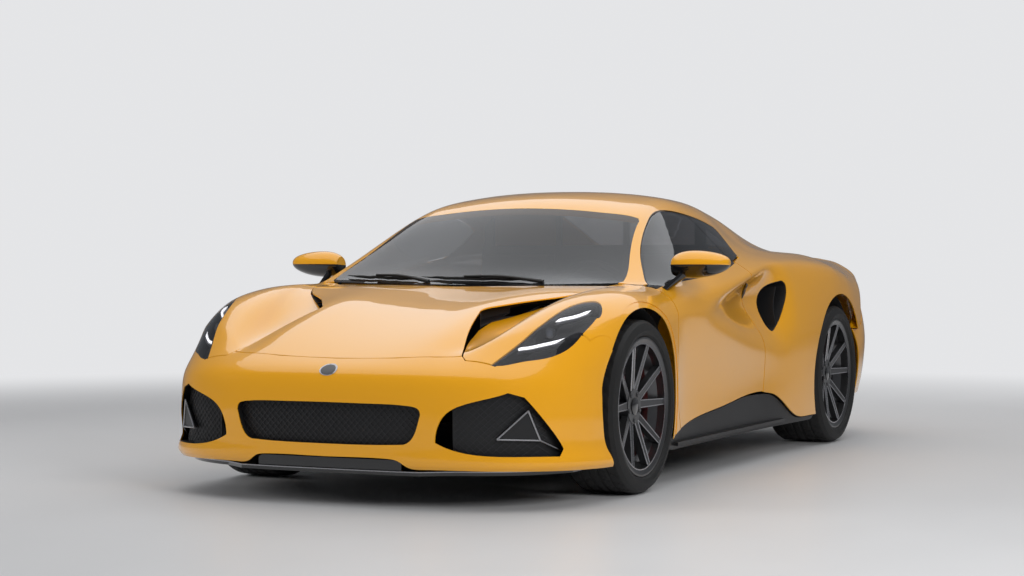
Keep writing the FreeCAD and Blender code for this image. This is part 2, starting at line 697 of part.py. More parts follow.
def wing():
    skin = skin_patch(station(.05), station(1.2), 2, edge_column, wing_face, wing_back)
    skin = skin.cut(plan_prism(bonnet_outline(), 0, overall_height, shut_gap / 2))
    skin = skin.cut(block(0, half_width * .62, station(1.05), station(1.3), 0, overall_height))
    back = plan_points(bumper_back_shares)
    beyond = nose_y - overrun
    half_gap = shut_gap / 2
    line = [(0, back[0][1] + half_gap)] + [(x, y + half_gap) for x, y in back]
    loop = line + [(line[-1][0], beyond), (0, beyond), line[0]]
    skin = skin.cut(plan_prism([[a, b] for a, b in zip(loop, loop[1:])], 0, overall_height))
    skin = skin.cut(plan_prism(headlamp_outline(), overall_height * lamp_floor_share, overall_height, half_gap))
    skin = skin.cut(front_arch())
    door = side_points(door_front_shares)
    ahead = [(y - half_gap, z) for y, z in door]
    base = side_points(flank_base_shares)[:3]
    pillar = (station(1.120), overall_height * .66)
    corner = (station(1.143) - half_gap, overall_height * .648)
    skin = skin.cut(arch_band(True))
    region = [[ahead[0], base[1]], [base[1], base[0]], [base[0], (station(1.05), base[0][1])],
              [(station(1.05), base[0][1]), (beyond, base[0][1])],
              [(beyond, base[0][1]), (beyond, overall_height)],
              [(beyond, overall_height), (pillar[0], overall_height)],
              [(pillar[0], overall_height), pillar], [pillar, corner], [corner, ahead[-1]], ahead[::-1]]
    skin = skin.common(side_prism(region, half_width * .4, half_width * 1.2))
    return main_solid(skin.cut(plan_prism(screen_outline(), 0, overall_height, shut_gap / 2)))


def windscreen():
    skin = skin_patch(station(1.06), station(1.35), -8, 8, seat_gap, seat_gap + glass_thickness)
    return skin.common(plan_prism(screen_outline(), 0, overall_height))


def roof():
    skin = skin_patch(station(1.08), station(1.65), -9, 9, 0, roof_thickness)
    skin = skin.cut(plan_prism(screen_outline(), 0, overall_height * 1.2, seat_gap))
    window = side_prism(window_outline(), half_width * .3, half_width * 1.2, shut_gap / 2)
    skin = skin.cut(window).cut(mirrored(window))
    keep = [(1.123, .662), (1.123, 1.2), (1.628, 1.2), (1.628, .853), (1.612, .853), (1.58, .80),
            (1.3, .72), (1.14, .656)]
    points = side_points(keep)
    keep = [[a, b] for a, b in zip(points, points[1:] + points[:1])]
    skin = skin.common(side_prism(keep, -half_width, half_width))
    return skin


def door_inner(point, normal):
    """Inner face of the door: straight in from the skin, less deep towards the belt."""
    belt = line_height(door_belt_shares, point.y)
    upper = smooth_step(belt - door_thickness * 2, belt, point.z)
    depth = door_thickness - (door_thickness - door_skin * 2) * upper
    side = 1 if point.x > 0 else -1
    return point - Vector(side * depth, 0, 0)


def door_panel():
    skin = skin_patch(station(1.1), station(1.65), 7, edge_column, 0, door_inner)
    door = side_prism(door_outline(), half_width * .5, half_width * 1.2, -shut_gap / 2)
    return skin.common(door)


def door_glass():
    skin = skin_patch(station(1.1), station(1.65), 4, 12, seat_gap, seat_gap + glass_thickness)
    belt = [(y, z - shut_gap + seat_gap) for y, z in side_points(door_belt_shares)]
    outline = chain(side_points(window_top_shares), side_points(window_rear_shares), belt[::-1])
    skin = skin.common(side_prism(outline, half_width * .3, half_width * 1.2, -shut_gap / 2))
    top, base = side_points(divider_shares)
    half_gap = shut_gap / 2
    ahead = [(station(1), 0), (station(1), overall_height * 1.1), (top[0] - half_gap, overall_height * 1.1),
             (top[0] - half_gap, top[1]), (base[0] - half_gap, base[1]), (base[0] - half_gap, 0)]
    return skin.common(side_prism([[a, b] for a, b in zip(ahead, ahead[1:] + ahead[:1])],
                                  half_width * .3, half_width * 1.2))


def quarter_glass():
    skin = skin_patch(station(1.4), station(1.7), 4, 12, seat_gap, seat_gap + glass_thickness)
    skin = skin.common(side_prism(window_outline(), half_width * .3, half_width * 1.2, -seat_gap))
    top, base = side_points(divider_shares)
    half_gap = shut_gap / 2
    behind = [(top[0] + half_gap, overall_height * 1.1), (station(2), overall_height * 1.1), (station(2), 0),
              (base[0] + half_gap, 0), (base[0] + half_gap, base[1]), (top[0] + half_gap, top[1])]
    return skin.common(side_prism([[a, b] for a, b in zip(behind, behind[1:] + behind[:1])],
                                  half_width * .3, half_width * 1.2))


def rear_quarter():
    skin = skin_patch(station(1.5), station(2.86), 4, edge_column, 0, skin_thickness)
    half_gap = shut_gap / 2
    door = [(y + half_gap, z) for y, z in side_points(door_rear_shares)]
    base = side_points(flank_base_shares)[7:]
    split = [(y - half_gap, z + half_gap) for y, z in side_points(tail_split_shares)]
    top = overall_height * 1.1
    roof_end = station(1.628) + seat_gap
    belt = [(roof_end, overall_height * .852), (station(1.612), overall_height * .852),
            (station(1.600), overall_height * .750)]
    region = [door, [door[-1], base[0]], base, [base[-1], (split[0][0], base[-1][1])],
              [(split[0][0], base[-1][1]), split[0]], split[:4], split[3:],
              [split[-1], (split[-1][0], top)], [(split[-1][0], top), (roof_end, top)],
              [(roof_end, top), belt[0]], [belt[0], belt[1]], [belt[1], belt[2]], [belt[2], door[0]]]
    skin = skin.common(side_prism(region, half_width * .3, half_width * 1.2))
    skin = skin.cut(rear_arch()).cut(arch_band(False))
    skin = skin.cut(side_prism(side_intake_outline(), half_width * .6, half_width * 1.1))
    skin = skin.cut(plan_prism(tailgate_outline(), 0, overall_height * 1.2, half_gap))
    window = side_prism(window_outline(), half_width * .3, half_width * 1.2, seat_gap)
    return skin.cut(window)


def tailgate():
    skin = skin_patch(station(1.6), station(2.9), -10, 10, 0, skin_thickness * 3)
    skin = skin.common(plan_prism(tailgate_outline(), 0, overall_height * 1.2, -shut_gap / 2))
    skin = skin.cut(plan_prism(rear_glass_outline(), 0, overall_height * 1.2, seat_gap))
    lug = hinge_lugs(tailgate_lug_x, station(1.65), overall_height * .955, overall_height)
    lug = main_solid(lug.cut(skin_patch(station(1.6), station(2.9), -10, 10, -overrun, skin_thickness)))
    return skin.fuse([lug, mirrored(lug)]).removeSplitter()


def tailgate_glass():
    skin = skin_patch(station(1.6), station(2.2), -10, 10, seat_gap, seat_gap + glass_thickness)
    return skin.common(plan_prism(rear_glass_outline(), 0, overall_height * 1.2))


def rear_bumper():
    skin = skin_patch(station(2.25), tail_y + overrun, -edge_column, edge_column, 0, skin_thickness)
    half_gap = shut_gap / 2
    split = [(y + half_gap, z - half_gap) for y, z in side_points(tail_split_shares)]
    beyond = tail_y + overrun
    region = [split[:4], split[3:], [split[-1], (beyond, split[-1][1])],
              [(beyond, split[-1][1]), (beyond, ground_clearance)],
              [(beyond, ground_clearance), (split[0][0] - overrun, ground_clearance)],
              [(split[0][0] - overrun, ground_clearance), split[0]]]
    skin = skin.common(side_prism(region, -half_width * 1.2, half_width * 1.2))
    skin = skin.cut(plan_prism(tailgate_outline(), 0, overall_height * 1.2, half_gap))
    band = arch_band(False)
    skin = skin.cut(rear_arch()).cut(mirrored(rear_arch())).cut(band).cut(mirrored(band))
    opening = front_points(diffuser_opening_shares)
    skin = skin.cut(front_prism(about_middle([opening[:3], opening[2:4], [opening[3], (0, opening[3][1])]]),
                                station(2.3), tail_y + overrun))
    for side in (-1, 1):
        centre = Vector(side * half_width * pipe_shares[0], station(2.5), overall_height * pipe_shares[1])
        skin = skin.cut(Part.makeCylinder(pipe_radius + shut_gap, overrun * 2, centre, Vector(0, 1, 0)))
    return skin


def front_edge_cut():
    """What lies under the lower edge of the front bumper."""
    line = front_points(bumper_base_shares)
    low = line[0][1] - overrun
    return front_prism(about_middle([line, [line[-1], (line[-1][0], low)], [(line[-1][0], low), (0, low)]]),
                       nose_y - overrun, front_axle_y)


def splitter():
    """Black blade under the nose: proud in the middle, tucked under the bumper's lip at the sides."""
    plate = 16.0
    setback = 12.0
    tuck = 60.0
    front = [(x, y + setback) for x, y in plan_points(nose_plan_shares[:3])]
    wing_line = [(x - tuck / 3, y + tuck) for x, y in plan_points(nose_plan_shares[3:8])]
    corner = (wing_line[-1][0], station(splitter_back_share))
    outline = about_middle([front, [front[-1], wing_line[0]], wing_line, [wing_line[-1], corner],
                            [corner, (0, corner[1])]])
    blade = plan_prism(outline, ground_clearance, ground_clearance + plate)
    low = ground_clearance + plate
    high = overall_height * bumper_base_shares[0][1] - shut_gap
    half = half_width * bumper_base_shares[2][0]
    proud = [(x, y + setback) for x, y in front]
    corner = (proud[-1][0], proud[-1][1] + tuck)
    riser = about_middle([proud, [proud[-1], corner], [corner, (0, corner[1])]])
    riser = plan_prism(riser, low - plate / 2, high)
    riser = riser.common(block(-half, half, nose_y, front_axle_y, low - plate / 2, high))
    return blade.fuse(riser).removeSplitter()


def bonnet_vent():
    """Black duct under the bonnet's lip, open to the valley ahead of it."""
    lip = plan_points(bonnet_lip_shares)[:6]
    width = 90.0
    inner = [(x - width * .55, y + width) for x, y in lip]
    rim = [(x + shut_gap * .3, y - shut_gap * .3) for x, y in lip]
    outline = chain(rim, inner[::-1])
    room = [(x + overrun / 40, y - overrun / 40) for x, y in lip]
    hollow = chain(room, [(x + duct_wall, y - duct_wall) for x, y in inner[::-1]])
    top = skin_thickness + shut_gap
    outer = skin_patch(station(.3), station(1.12), 2, 10, top, vent_back)
    hole = skin_patch(station(.3), station(1.12), 2, 10, -overrun / 8, wing_face)
    duct = outer.common(plan_prism(outline, 0, overall_height))
    duct = duct.cut(hole.common(plan_prism(hollow, 0, overall_height)))
    arch = arch_cylinder(front_axle_y, front_arch_radius + 3 * duct_wall, front_wheel_radius)
    inboard = arch.translated(Vector(-half_width * .1, 0, 0))
    return main_solid(duct.cut(arch.fuse(inboard)))


def moved_in(distance):
    """Depth that moves the left flank straight towards the middle."""
    return lambda point, normal: point - Vector(distance, 0, 0)


def side_intake():
    """Black duct behind the opening in the flank, with its upright vane."""
    depth = 150.0
    face = skin_thickness * .4
    outline = side_intake_outline()
    inner, outer = half_width * .5, half_width * 1.1
    reach = (station(1.5), station(1.9), 10, edge_column)
    body = skin_patch(*reach, moved_in(face), moved_in(depth))
    tube = side_prism(outline, inner, outer, -seat_gap).cut(side_prism(outline, inner, outer, -duct_wall))
    back = skin_patch(*reach, moved_in(depth - duct_wall), moved_in(depth))
    plate = back.common(side_prism(outline, inner, outer, -seat_gap))
    (top_y, top_z), (low_y, low_z) = side_points(side_vane_shares)
    vane = side_prism([[(top_y, top_z), (top_y + duct_wall, top_z)],
                       [(top_y + duct_wall, top_z), (low_y + duct_wall, low_z)],
                       [(low_y + duct_wall, low_z), (low_y, low_z)], [(low_y, low_z), (top_y, top_z)]], inner, outer)
    vane = vane.common(side_prism(outline, inner, outer, -duct_wall / 2)).common(body)
    return main_solid(tube.common(body).fuse([plate, vane]).removeSplitter())


def skirt():
    """Black sill panel under the door and the wing, with a blade along its foot."""
    inset = 12.0
    wall = 6.0
    blade_height = 14.0
    blade_reach = 30.0
    skin = skin_patch(station(1.08), station(1.9), 15, edge_column, inset, inset + wall)
    top = [(y, z - shut_gap) for y, z in side_points(flank_base_shares)]
    foot = ground_clearance
    region = [top, [top[-1], (top[-1][0], foot)], [(top[-1][0], foot), (top[0][0], foot)],
              [(top[0][0], foot), top[0]]]
    panel = skin.common(side_prism(region, half_width * .5, half_width * 1.2))
    rail = half_width * flank_rail_share
    blade = block(rail, rail + blade_reach + inset, top[1][0], station(1.7), foot + blade_height * 2,
                  foot + blade_height * 3)
    flange = block(half_width * tub_half_share + seat_gap, rail + blade_reach, top[1][0], station(1.63),
                   foot + blade_height * 2, foot + blade_height * 2 + wall)
    return main_solid(panel).fuse([blade, flange]).removeSplitter()


def main_solid(shape):
    return max(shape.Solids, key=lambda solid: solid.Volume)


def lamp_space(grow, low_depth, high_depth):
    skin = skin_patch(station(.03), station(.95), 8, edge_column, low_depth, high_depth)
    return skin.common(plan_prism(headlamp_outline(), overall_height * lamp_floor_share, overall_height, grow))


def headlamp():
    """Black lamp bowl under the lens."""
    wall = 4.0
    bowl_depth = 60.0
    top = glass_thickness + 2 * seat_gap
    outer = lamp_space(shut_gap / 2 - seat_gap, top, bowl_depth)
    arch = arch_cylinder(front_axle_y, front_arch_radius + 2 * wall, front_wheel_radius)
    inner_arch = arch_cylinder(front_axle_y, front_arch_radius + 3 * wall, front_wheel_radius)
    hollow = lamp_space(-wall, top - wall, bowl_depth - 3 * wall).cut(inner_arch)
    return main_solid(outer.cut(arch).cut(hollow))


def headlamp_lens():
    return main_solid(lamp_space(shut_gap / 2 - seat_gap, seat_gap, seat_gap + glass_thickness))


def opening_screen(outline, columns):
    """Mesh behind an opening of the front bumper, with the collar that holds it."""
    recess = 34.0
    wall = 6.0
    lip = 8.0
    beyond = nose_y - overrun
    back = front_axle_y - overrun / 2
    plate = skin_patch(nose_y - overrun, station(.8), columns[0], columns[1], recess, recess + wall)
    collar = skin_patch(nose_y - overrun, station(.8), columns[0], columns[1], skin_thickness + seat_gap,
                        recess + wall)
    collar = collar.common(front_prism(outline, beyond, back, lip))
    collar = collar.cut(front_prism(outline, beyond, back, lip - wall))
    return main_solid(plate.common(front_prism(outline, beyond, back, lip - wall / 2)).fuse(collar))


def grilles():
    side = opening_screen(intake_outline(), (6, edge_column))
    return Part.makeCompound([opening_screen(grille_outline(), (-9, 9)), side, mirrored(side)])


def tail_lamp_prism(grow):
    outline = front_points(tail_lamp_shares)
    return front_prism(chain(outline[:3], outline[2:4], outline[3:6], [outline[5], outline[0]]),
                       station(2.3), tail_y + overrun, grow)


def tail_lamp():
    depth = 24.0
    skin = skin_patch(station(2.25), tail_y + overrun, 4, edge_column, seat_gap, depth)
    return main_solid(skin.common(tail_lamp_prism(-seat_gap)))


def diffuser():
    """Black tray that rises under the tail, with upright fins."""
    sheet = 8.0
    width_share = .615
    fin_thickness = 10.0
    fin_height = 70.0
    fin_count = 5
    front = station(undertray_back_share) + seat_gap
    back = tail_y - rear_overhang * .06
    low = ground_clearance + sheet
    high = overall_height * .235
    half = half_width * width_share
    tray = side_prism([[(front, low), (back, high)], [(back, high), (back, high + sheet)],
                       [(back, high + sheet), (front, low + sheet)], [(front, low + sheet), (front, low)]],
                      -half, half)
    for index in range(fin_count):
        x = -half + fin_thickness + (2 * half - 3 * fin_thickness) * index / (fin_count - 1)
        fin = side_prism([[(front, low), (back, high - fin_height)],
                          [(back, high - fin_height), (back, high + sheet / 2)],
                          [(back, high + sheet / 2), (front, low + sheet / 2)],
                          [(front, low + sheet / 2), (front, low)]], x, x + fin_thickness)
        tray = tray.fuse(fin)
    return tray.removeSplitter()


def door_post():
    """Post on the sill that carries the door's hinges, up to the door's inner face."""
    depth = 45.0
    height = 190.0
    front = front_axle_y + front_arch_radius + tub_wall
    post = block(half_width * (tub_half_share - .02), half_width * .9, front, front + depth, overall_height * .30,
                 overall_height * .30 + height)
    post = post.cut(skin_patch(station(1.1), station(1.3), 14, edge_column, 0, door_seat))
    return main_solid(post)


def roof_post(inner_share, outer_share, front, foot, reach):
    """Post from a bulkhead up to the inner face of the roof."""
    post = block(half_width * inner_share, half_width * outer_share, front, front + tub_wall, foot, overall_height)
    skin = skin_patch(station(reach[0]), station(reach[1]), reach[2], reach[3], -overrun / 4,
                      roof_thickness + seat_gap)
    return min(post.cut(skin).Solids, key=lambda solid: solid.BoundBox.ZMin)


def door_seat(point, normal):
    """Inner face of the door with its clearance."""
    side = 1 if point.x > 0 else -1
    return door_inner(point, normal) - Vector(side * seat_gap, 0, 0)


def tub():
    """Floor, sills, bulkheads, tunnel and the beams that carry both axles."""
    half = half_width * tub_half_share
    sill_width = half - (half_width * seat_centre_share + seat_half_width + tub_sheet / 9)
    sill_height = 230.0
    tunnel_half = 110.0
    tower_half = 120.0
    floor = ground_clearance
    front = station(1.117)
    sill_front = front_axle_y + front_arch_radius + tub_wall
    back = station(1.634)
    roof_line = overall_height * .80
    dash_line = overall_height * .638
    top = floor + tub_sheet
    low = top + tub_wall
    body = block(-half, half, sill_front, back, floor, top)
    pieces = [block(-beam_outer, beam_outer, front, sill_front, floor, top),
              block(-tunnel_half, tunnel_half, front, back, top, top + tunnel_height),
              block(-beam_outer, beam_outer, front, front + tub_wall, top, dash_line),
              block(-half * .78, half * .78, back - tub_wall, back, top, roof_line)]
    for side in (-1, 1):
        def pair(near, far):
            return sorted((side * near, side * far))
        sill = pair(half - sill_width, half)
        pieces.append(block(sill[0], sill[1], sill_front, back, top, floor + sill_height))
        wall = pair(beam_outer - tub_wall, beam_outer)
        pieces.append(block(wall[0], wall[1], front, sill_front + tub_wall, top, dash_line))
        wing_wall = pair(beam_outer - tub_wall, half)
        pieces.append(block(wing_wall[0], wing_wall[1], sill_front, sill_front + tub_wall, top, dash_line))
        beam = pair(beam_inner, beam_outer)
        pieces.append(block(beam[0], beam[1], station(.28), front + tub_wall, low, low + beam_height))
        pieces.append(block(beam[0], beam[1], back - tub_wall, station(undertray_back_share), low, low + beam_height))
        for axle in (front_axle_y, rear_axle_y):
            pieces.append(block(beam[0], beam[1], axle - tower_half, axle + tower_half, low + beam_height,
                                low + beam_height + tower_height))
        lug = pair(bonnet_lug_x + lug_thickness + seat_gap, bonnet_lug_x + 2 * lug_thickness)
        pieces.append(block(lug[0], lug[1], station(bonnet_hinge_share) - 4 * lug_thickness, front + lug_thickness,
                            dash_line - 4 * lug_thickness, dash_line))
        lug = pair(tailgate_lug_x + lug_thickness + seat_gap, tailgate_lug_x + 3 * lug_thickness)
        reach = overall_height * .955
        pieces.append(block(lug[0], lug[1], back - tub_wall, back, roof_line, reach))
        pieces.append(block(lug[0], lug[1], back, back + 4 * lug_thickness, reach - 3 * lug_thickness, reach))
    for place in (station(.28), station(undertray_back_share) - tub_wall * 2):
        pieces.append(block(-beam_inner, beam_inner, place, place + tub_wall * 2, low, low + beam_height))
    for start, finish in ((station(splitter_back_share) + seat_gap, front), (back, station(undertray_back_share))):
        pieces.append(block(-beam_outer, beam_outer, start, finish, floor, top))
        for side in (-1, 1):
            rail = sorted((side * beam_inner, side * (beam_inner + tub_wall)))
            pieces.append(block(rail[0], rail[1], start, finish, top, low))
    for post in (door_post(), roof_post(.735, .772, sill_front, dash_line - tub_wall, (1.08, 1.4, 6, 14)),
                 roof_post(.55, .60, back - tub_wall, roof_line - tub_wall, (1.5, 1.72, 0, 12))):
        pieces += [post, mirrored(post)]
    return body.multiFuse(pieces).removeSplitter()


def revolved(profile, axle_y, centre_z):
    """Solid turned about the axle from a closed profile of distance across and radius."""
    points = [Vector(x, axle_y, centre_z + radius) for x, radius in profile]
    face = Part.Face(Part.makePolygon(points + points[:1]))
    return face.revolve(Vector(0, axle_y, centre_z), Vector(1, 0, 0), 360)


def tyre(radius, width, outer_face, axle_y):
    """Tyre with rounded shoulders and bulging walls."""
    seat = rim_seat_diameter / 2 + seat_gap
    wall_height = radius - seat
    middle = outer_face - width / 2
    bead = width * .42
    inside_bead = bead - seat_gap
    flange = rim_seat_diameter / 2 + rim_flange_height + seat_gap
    inner = seat + wall_height * .16
    tread_half = width * .40
    half = width / 2
    points = [(-inside_bead, seat), (-inside_bead, flange), (-half * .95, flange + wall_height * .06),
              (-half, seat + wall_height * .5),
              (-half * .97, seat + wall_height * .78), (-tread_half, radius - wall_height * .035),
              (-tread_half * .5, radius - wall_height * .005), (0, radius)]
    outer = points + [(-x, r) for x, r in points[-2::-1]]
    bore = [(inside_bead, seat), (bead * .80, seat), (bead * .84, inner), (half * .86, seat + wall_height * .5),
            (tread_half * .9, radius - wall_height * .22)]
    inside = bore + [(-x, r) for x, r in bore[::-1]]
    return revolved([(middle + x, r) for x, r in outer + inside[1:-1]], axle_y, radius)


def rim(radius, width, outer_face, axle_y):
    """Alloy wheel: barrel with its flanges, hub and ten spokes in five pairs."""
    seat = rim_seat_diameter / 2
    flange = seat + rim_flange_height
    bead = width * .42
    middle = outer_face - width / 2
    lip = 7.0
    drop = seat * .86
    hub_radius = 68.0
    hub_face = hub_plane(width, outer_face) + hub_depth + seat_gap
    spoke_depth = 34.0
    spoke_width = 30.0
    spread = 9.5
    pair_turn = 72.0
    outer = [(-bead - lip, flange), (-bead, flange), (-bead, seat), (-bead * .55, seat),
             (-bead * .35, drop + rim_wall), (bead * .45, drop + rim_wall), (bead * .75, seat), (bead, seat),
             (bead, flange), (bead + lip, flange), (bead + lip, flange - lip), (bead, seat - rim_wall),
             (bead * .70, seat - rim_wall), (bead * .40, drop), (-bead * .40, drop),
             (-bead * .60, seat - rim_wall), (-bead - lip, seat - rim_wall)]
    wheel = revolved([(middle + x, r) for x, r in outer], axle_y, radius)
    hub = Part.makeCylinder(hub_radius, hub_depth, Vector(hub_face - hub_depth, axle_y, radius), Vector(1, 0, 0))
    pieces = [hub]
    root = hub_radius * .6
    tip = seat - rim_wall / 2
    bend = middle + bead
    for index in range(5):
        for side in (-1, 1):
            turn = index * pair_turn + side * spread
            blade = side_prism([[(-spoke_width / 2, root), (spoke_width / 2, root)],
                                [(spoke_width / 2, root), (spoke_width * .36, tip)],
                                [(spoke_width * .36, tip), (-spoke_width * .36, tip)],
                                [(-spoke_width * .36, tip), (-spoke_width / 2, root)]],
                               hub_face - spoke_depth, bend)
            crown = [(hub_face - spoke_depth, root), (hub_face - lip, root), (bend - lip / 2, tip),
                     (bend - spoke_depth, tip)]
            face = Part.Face(Part.makePolygon([Vector(x, -spoke_width, z) for x, z in crown + crown[:1]]))
            blade = blade.common(face.extrude(Vector(0, 2 * spoke_width, 0)))
            blade.rotate(Vector(0, 0, root), Vector(1, 0, 0), side * spread * .9)
            blade.rotate(Vector(0, 0, 0), Vector(1, 0, 0), turn)
            blade.translate(Vector(0, axle_y, radius))
            pieces.append(blade)
    return wheel.multiFuse(pieces).removeSplitter()


def disc_plane(width, outer_face):
    return outer_face - width * .62


def hub_plane(width, outer_face):
    """Face of the disc's hat, against the wheel's hub."""
    return outer_face - width / 2 + width * .42 - width * .13 - hub_depth - seat_gap


def brake_disc(radius, width, outer_face, axle_y):
    """Disc with its hat, bolted behind the wheel's hub."""
    half = brake_disc_thickness / 2
    outer = brake_disc_diameter / 2
    band = 62.0
    hat = 84.0
    wall = 9.0
    face = hub_plane(width, outer_face)
    plane = disc_plane(width, outer_face)
    bore = 34.0
    profile = [(plane - half, outer), (plane + half, outer), (plane + half, outer - band),
               (plane + half, hat), (face, hat), (face, bore), (face - wall, bore), (face - wall, hat - wall),
               (plane - half, hat - wall)]
    return revolved(profile, axle_y, radius)


def upright_back(width, outer_face):
    """Outer face of the upright, inboard of the disc."""
    return disc_plane(width, outer_face) - brake_disc_thickness / 2 - upright_clearance


def knuckle(radius, width, outer_face, axle_y, caliper_side):
    """Hub carrier: an upright with the spindle that the disc turns on and the caliper's bracket."""
    back = upright_back(width, outer_face)
    foot = 42.0
    bearing = 62.0
    shaft = 33.0
    bracket = 30.0
    face = hub_plane(width, outer_face)
    upright = side_prism([[(-foot, -upright_reach), (foot, -upright_reach)], [(foot, -upright_reach), (bearing, 0)],
                          [(bearing, 0), (foot, upright_reach)], [(foot, upright_reach), (-foot, upright_reach)],
                          [(-foot, upright_reach), (-bearing, 0)], [(-bearing, 0), (-foot, -upright_reach)]],
                         back - upright_depth, back)
    reach = math.sqrt((brake_disc_diameter / 2 - caliper_grip) ** 2 - bracket ** 2) - seat_gap
    ends = sorted((caliper_side * foot, caliper_side * reach))
    arm_piece = block(back - upright_depth, back, ends[0], ends[1], -bracket, bracket)
    body = upright.fuse(arm_piece)
    body.translate(Vector(0, axle_y, radius))
    boss = Part.makeCylinder(bearing, upright_depth * 1.2, Vector(back - upright_depth, axle_y, radius),
                             Vector(1, 0, 0))
    spindle = Part.makeCylinder(shaft, face - back + upright_depth / 2,
                                Vector(back - upright_depth / 2, axle_y, radius), Vector(1, 0, 0))
    return body.fuse([boss, spindle]).removeSplitter()


def caliper(radius, width, outer_face, axle_y, turn):
    """Brake caliper over the edge of the disc, on a bracket from the upright."""
    outer = brake_disc_diameter / 2
    plane = disc_plane(width, outer_face)
    clear = 4.0
    cheek = 30.0
    grip = caliper_grip
    bridge = 14.0
    half = brake_disc_thickness / 2 + clear
    sweep = 64.0
    profile = [(plane - half - cheek, outer - grip), (plane - half, outer - grip), (plane - half, outer + clear),
               (plane + half, outer + clear), (plane + half, outer - grip),
               (plane + half + cheek, outer - grip), (plane + half + cheek * .8, outer + bridge),
               (plane - half - cheek * .8, outer + bridge)]
    points = [Vector(x, 0, r) for x, r in profile]
    body = Part.Face(Part.makePolygon(points + points[:1])).revolve(Vector(0, 0, 0), Vector(1, 0, 0), sweep)
    body.rotate(Vector(0, 0, 0), Vector(1, 0, 0), turn - sweep / 2)
    body.translate(Vector(0, axle_y, radius))
    return body


def wheel_set(front):
    if front:
        return (front_wheel_radius, front_tyre_width, front_tyre_outer_face, front_axle_y)
    return (rear_wheel_radius, rear_tyre_width, rear_tyre_outer_face, rear_axle_y)


def arm(front, side):
    """A-shaped suspension arm from the beam or its tower to the ball joint on the upright."""
    radius, width, outer_face, axle_y = wheel_set(front)
    spread = 100.0
    ball = arm_bar * 1.3
    seated = 2 * seat_gap
    low = ground_clearance + tub_sheet + tub_wall
    foot_z = low + 2 * arm_bar if side < 0 else low + beam_height + tower_height - 2 * arm_bar
    tip = Vector(upright_back(width, outer_face) - upright_depth / 2, axle_y,
                 radius + side * (upright_reach + ball + seat_gap))
    pieces = []
    for end in (-1, 1):
        foot = Vector(beam_outer, axle_y + end * spread, foot_z)
        run = tip - foot
        foot.x += seated + arm_bar * math.sqrt(1 - (run.x / run.Length) ** 2)
        run = tip - foot
        pieces.append(Part.makeCylinder(arm_bar, run.Length, foot, run))
    return pieces[0].fuse([pieces[1], Part.makeSphere(ball, tip)]).removeSplitter()


def suspension_arms():
    """Upper and lower arms of the four corners."""
    return both_sides(Part.makeCompound([arm(front, side) for front in (True, False) for side in (-1, 1)]))


def seat():
    """Bucket seat: cushion with raised sides, leaning back with its head rest."""
    centre = half_width * seat_centre_share
    half = seat_half_width
    side = 62.0
    floor = ground_clearance + tub_sheet + seat_gap
    front = station(1.345)
    hip = station(1.545)
    knee = 210.0
    hip_height = 160.0
    base_top = floor + hip_height
    bolster = 50.0
    lean = 120.0
    back_height = 640.0
    pad = 110.0
    cushion = [[(front, floor + knee), (hip, base_top)], [(hip, base_top), (hip + lean, base_top + back_height)],
               [(hip + lean, base_top + back_height), (hip + lean + pad * .7, base_top + back_height)],
               [(hip + lean + pad * .7, base_top + back_height), (hip + pad, floor)],
               [(hip + pad, floor), (front, floor)], [(front, floor), (front, floor + knee)]]
    body = side_prism(cushion, centre - half + side, centre + half - side)
    rim_line = [[(front, floor + knee + bolster), (hip - bolster * .5, base_top + bolster)],
                [(hip - bolster * .5, base_top + bolster), (hip + lean - bolster, base_top + back_height * .72)],
                [(hip + lean - bolster, base_top + back_height * .72),
                 (hip + lean + pad * .5, base_top + back_height * .80)],
                [(hip + lean + pad * .5, base_top + back_height * .80), (hip + pad, floor)],
                [(hip + pad, floor), (front, floor)], [(front, floor), (front, floor + knee + bolster)]]
    left = side_prism(rim_line, centre - half, centre - half + side)
    right = side_prism(rim_line, centre + half - side, centre + half)
    return body.fuse([left, right]).removeSplitter()


def dashboard():
    """Padded dashboard across the cabin, with the hood over the dials."""
    half = half_width * .72
    front = station(1.117) + tub_wall + seat_gap
    wall_back = front_axle_y + front_arch_radius + 2 * tub_wall + seat_gap
    top = overall_height * .628
    depth = 330.0
    low = overall_height * .47
    nose = 60.0
    profile = [[(front, low), (front, top)], [(front, top), (front + depth * .55, top)],
               [(front + depth * .55, top), (front + depth, top - nose)],
               [(front + depth, top - nose), (front + depth * .8, low)],
               [(front + depth * .8, low), (front, low)]]
    body = side_prism(profile, -half, half)
    for side in (-1, 1):
        edges = sorted((side * (beam_outer - tub_wall - seat_gap), side * half_width))
        body = body.cut(block(edges[0], edges[1], front - overrun, wall_back, 0, overall_height))
    hood = block(half * .38, half * .78, front + depth * .35, front + depth, top - nose, top + nose * .25)
    start = Vector(half_width * .385, steering_y, steering_z)
    start -= column_direction() * (steering_boss_depth / 2 + seat_gap)
    shroud = Part.makeCylinder(column_radius, column_length, start, column_direction() * -1)
    return body.fuse([hood, shroud]).removeSplitter()


def console():
    """Console on the tunnel, from the dashboard back between the seats."""
    half = 95.0
    low = ground_clearance + tub_sheet + tunnel_height + seat_gap
    front = station(1.117) + tub_wall + seat_gap
    back = station(1.55)
    rise = overall_height * .47 - seat_gap
    shoulder_height = 110.0
    shoulder = low + shoulder_height
    profile = [[(front, low), (front, rise)], [(front, rise), (front + half * 2.5, rise)],
               [(front + half * 2.5, rise), (front + half * 4.5, shoulder)],
               [(front + half * 4.5, shoulder), (back, shoulder)], [(back, shoulder), (back, low)],
               [(back, low), (front, low)]]
    return side_prism(profile, -half, half)


def column_direction():
    """Direction of the steering column, from the wheel towards the driver."""
    lean = math.radians(steering_lean)
    return Vector(0, math.cos(lean), math.sin(lean))


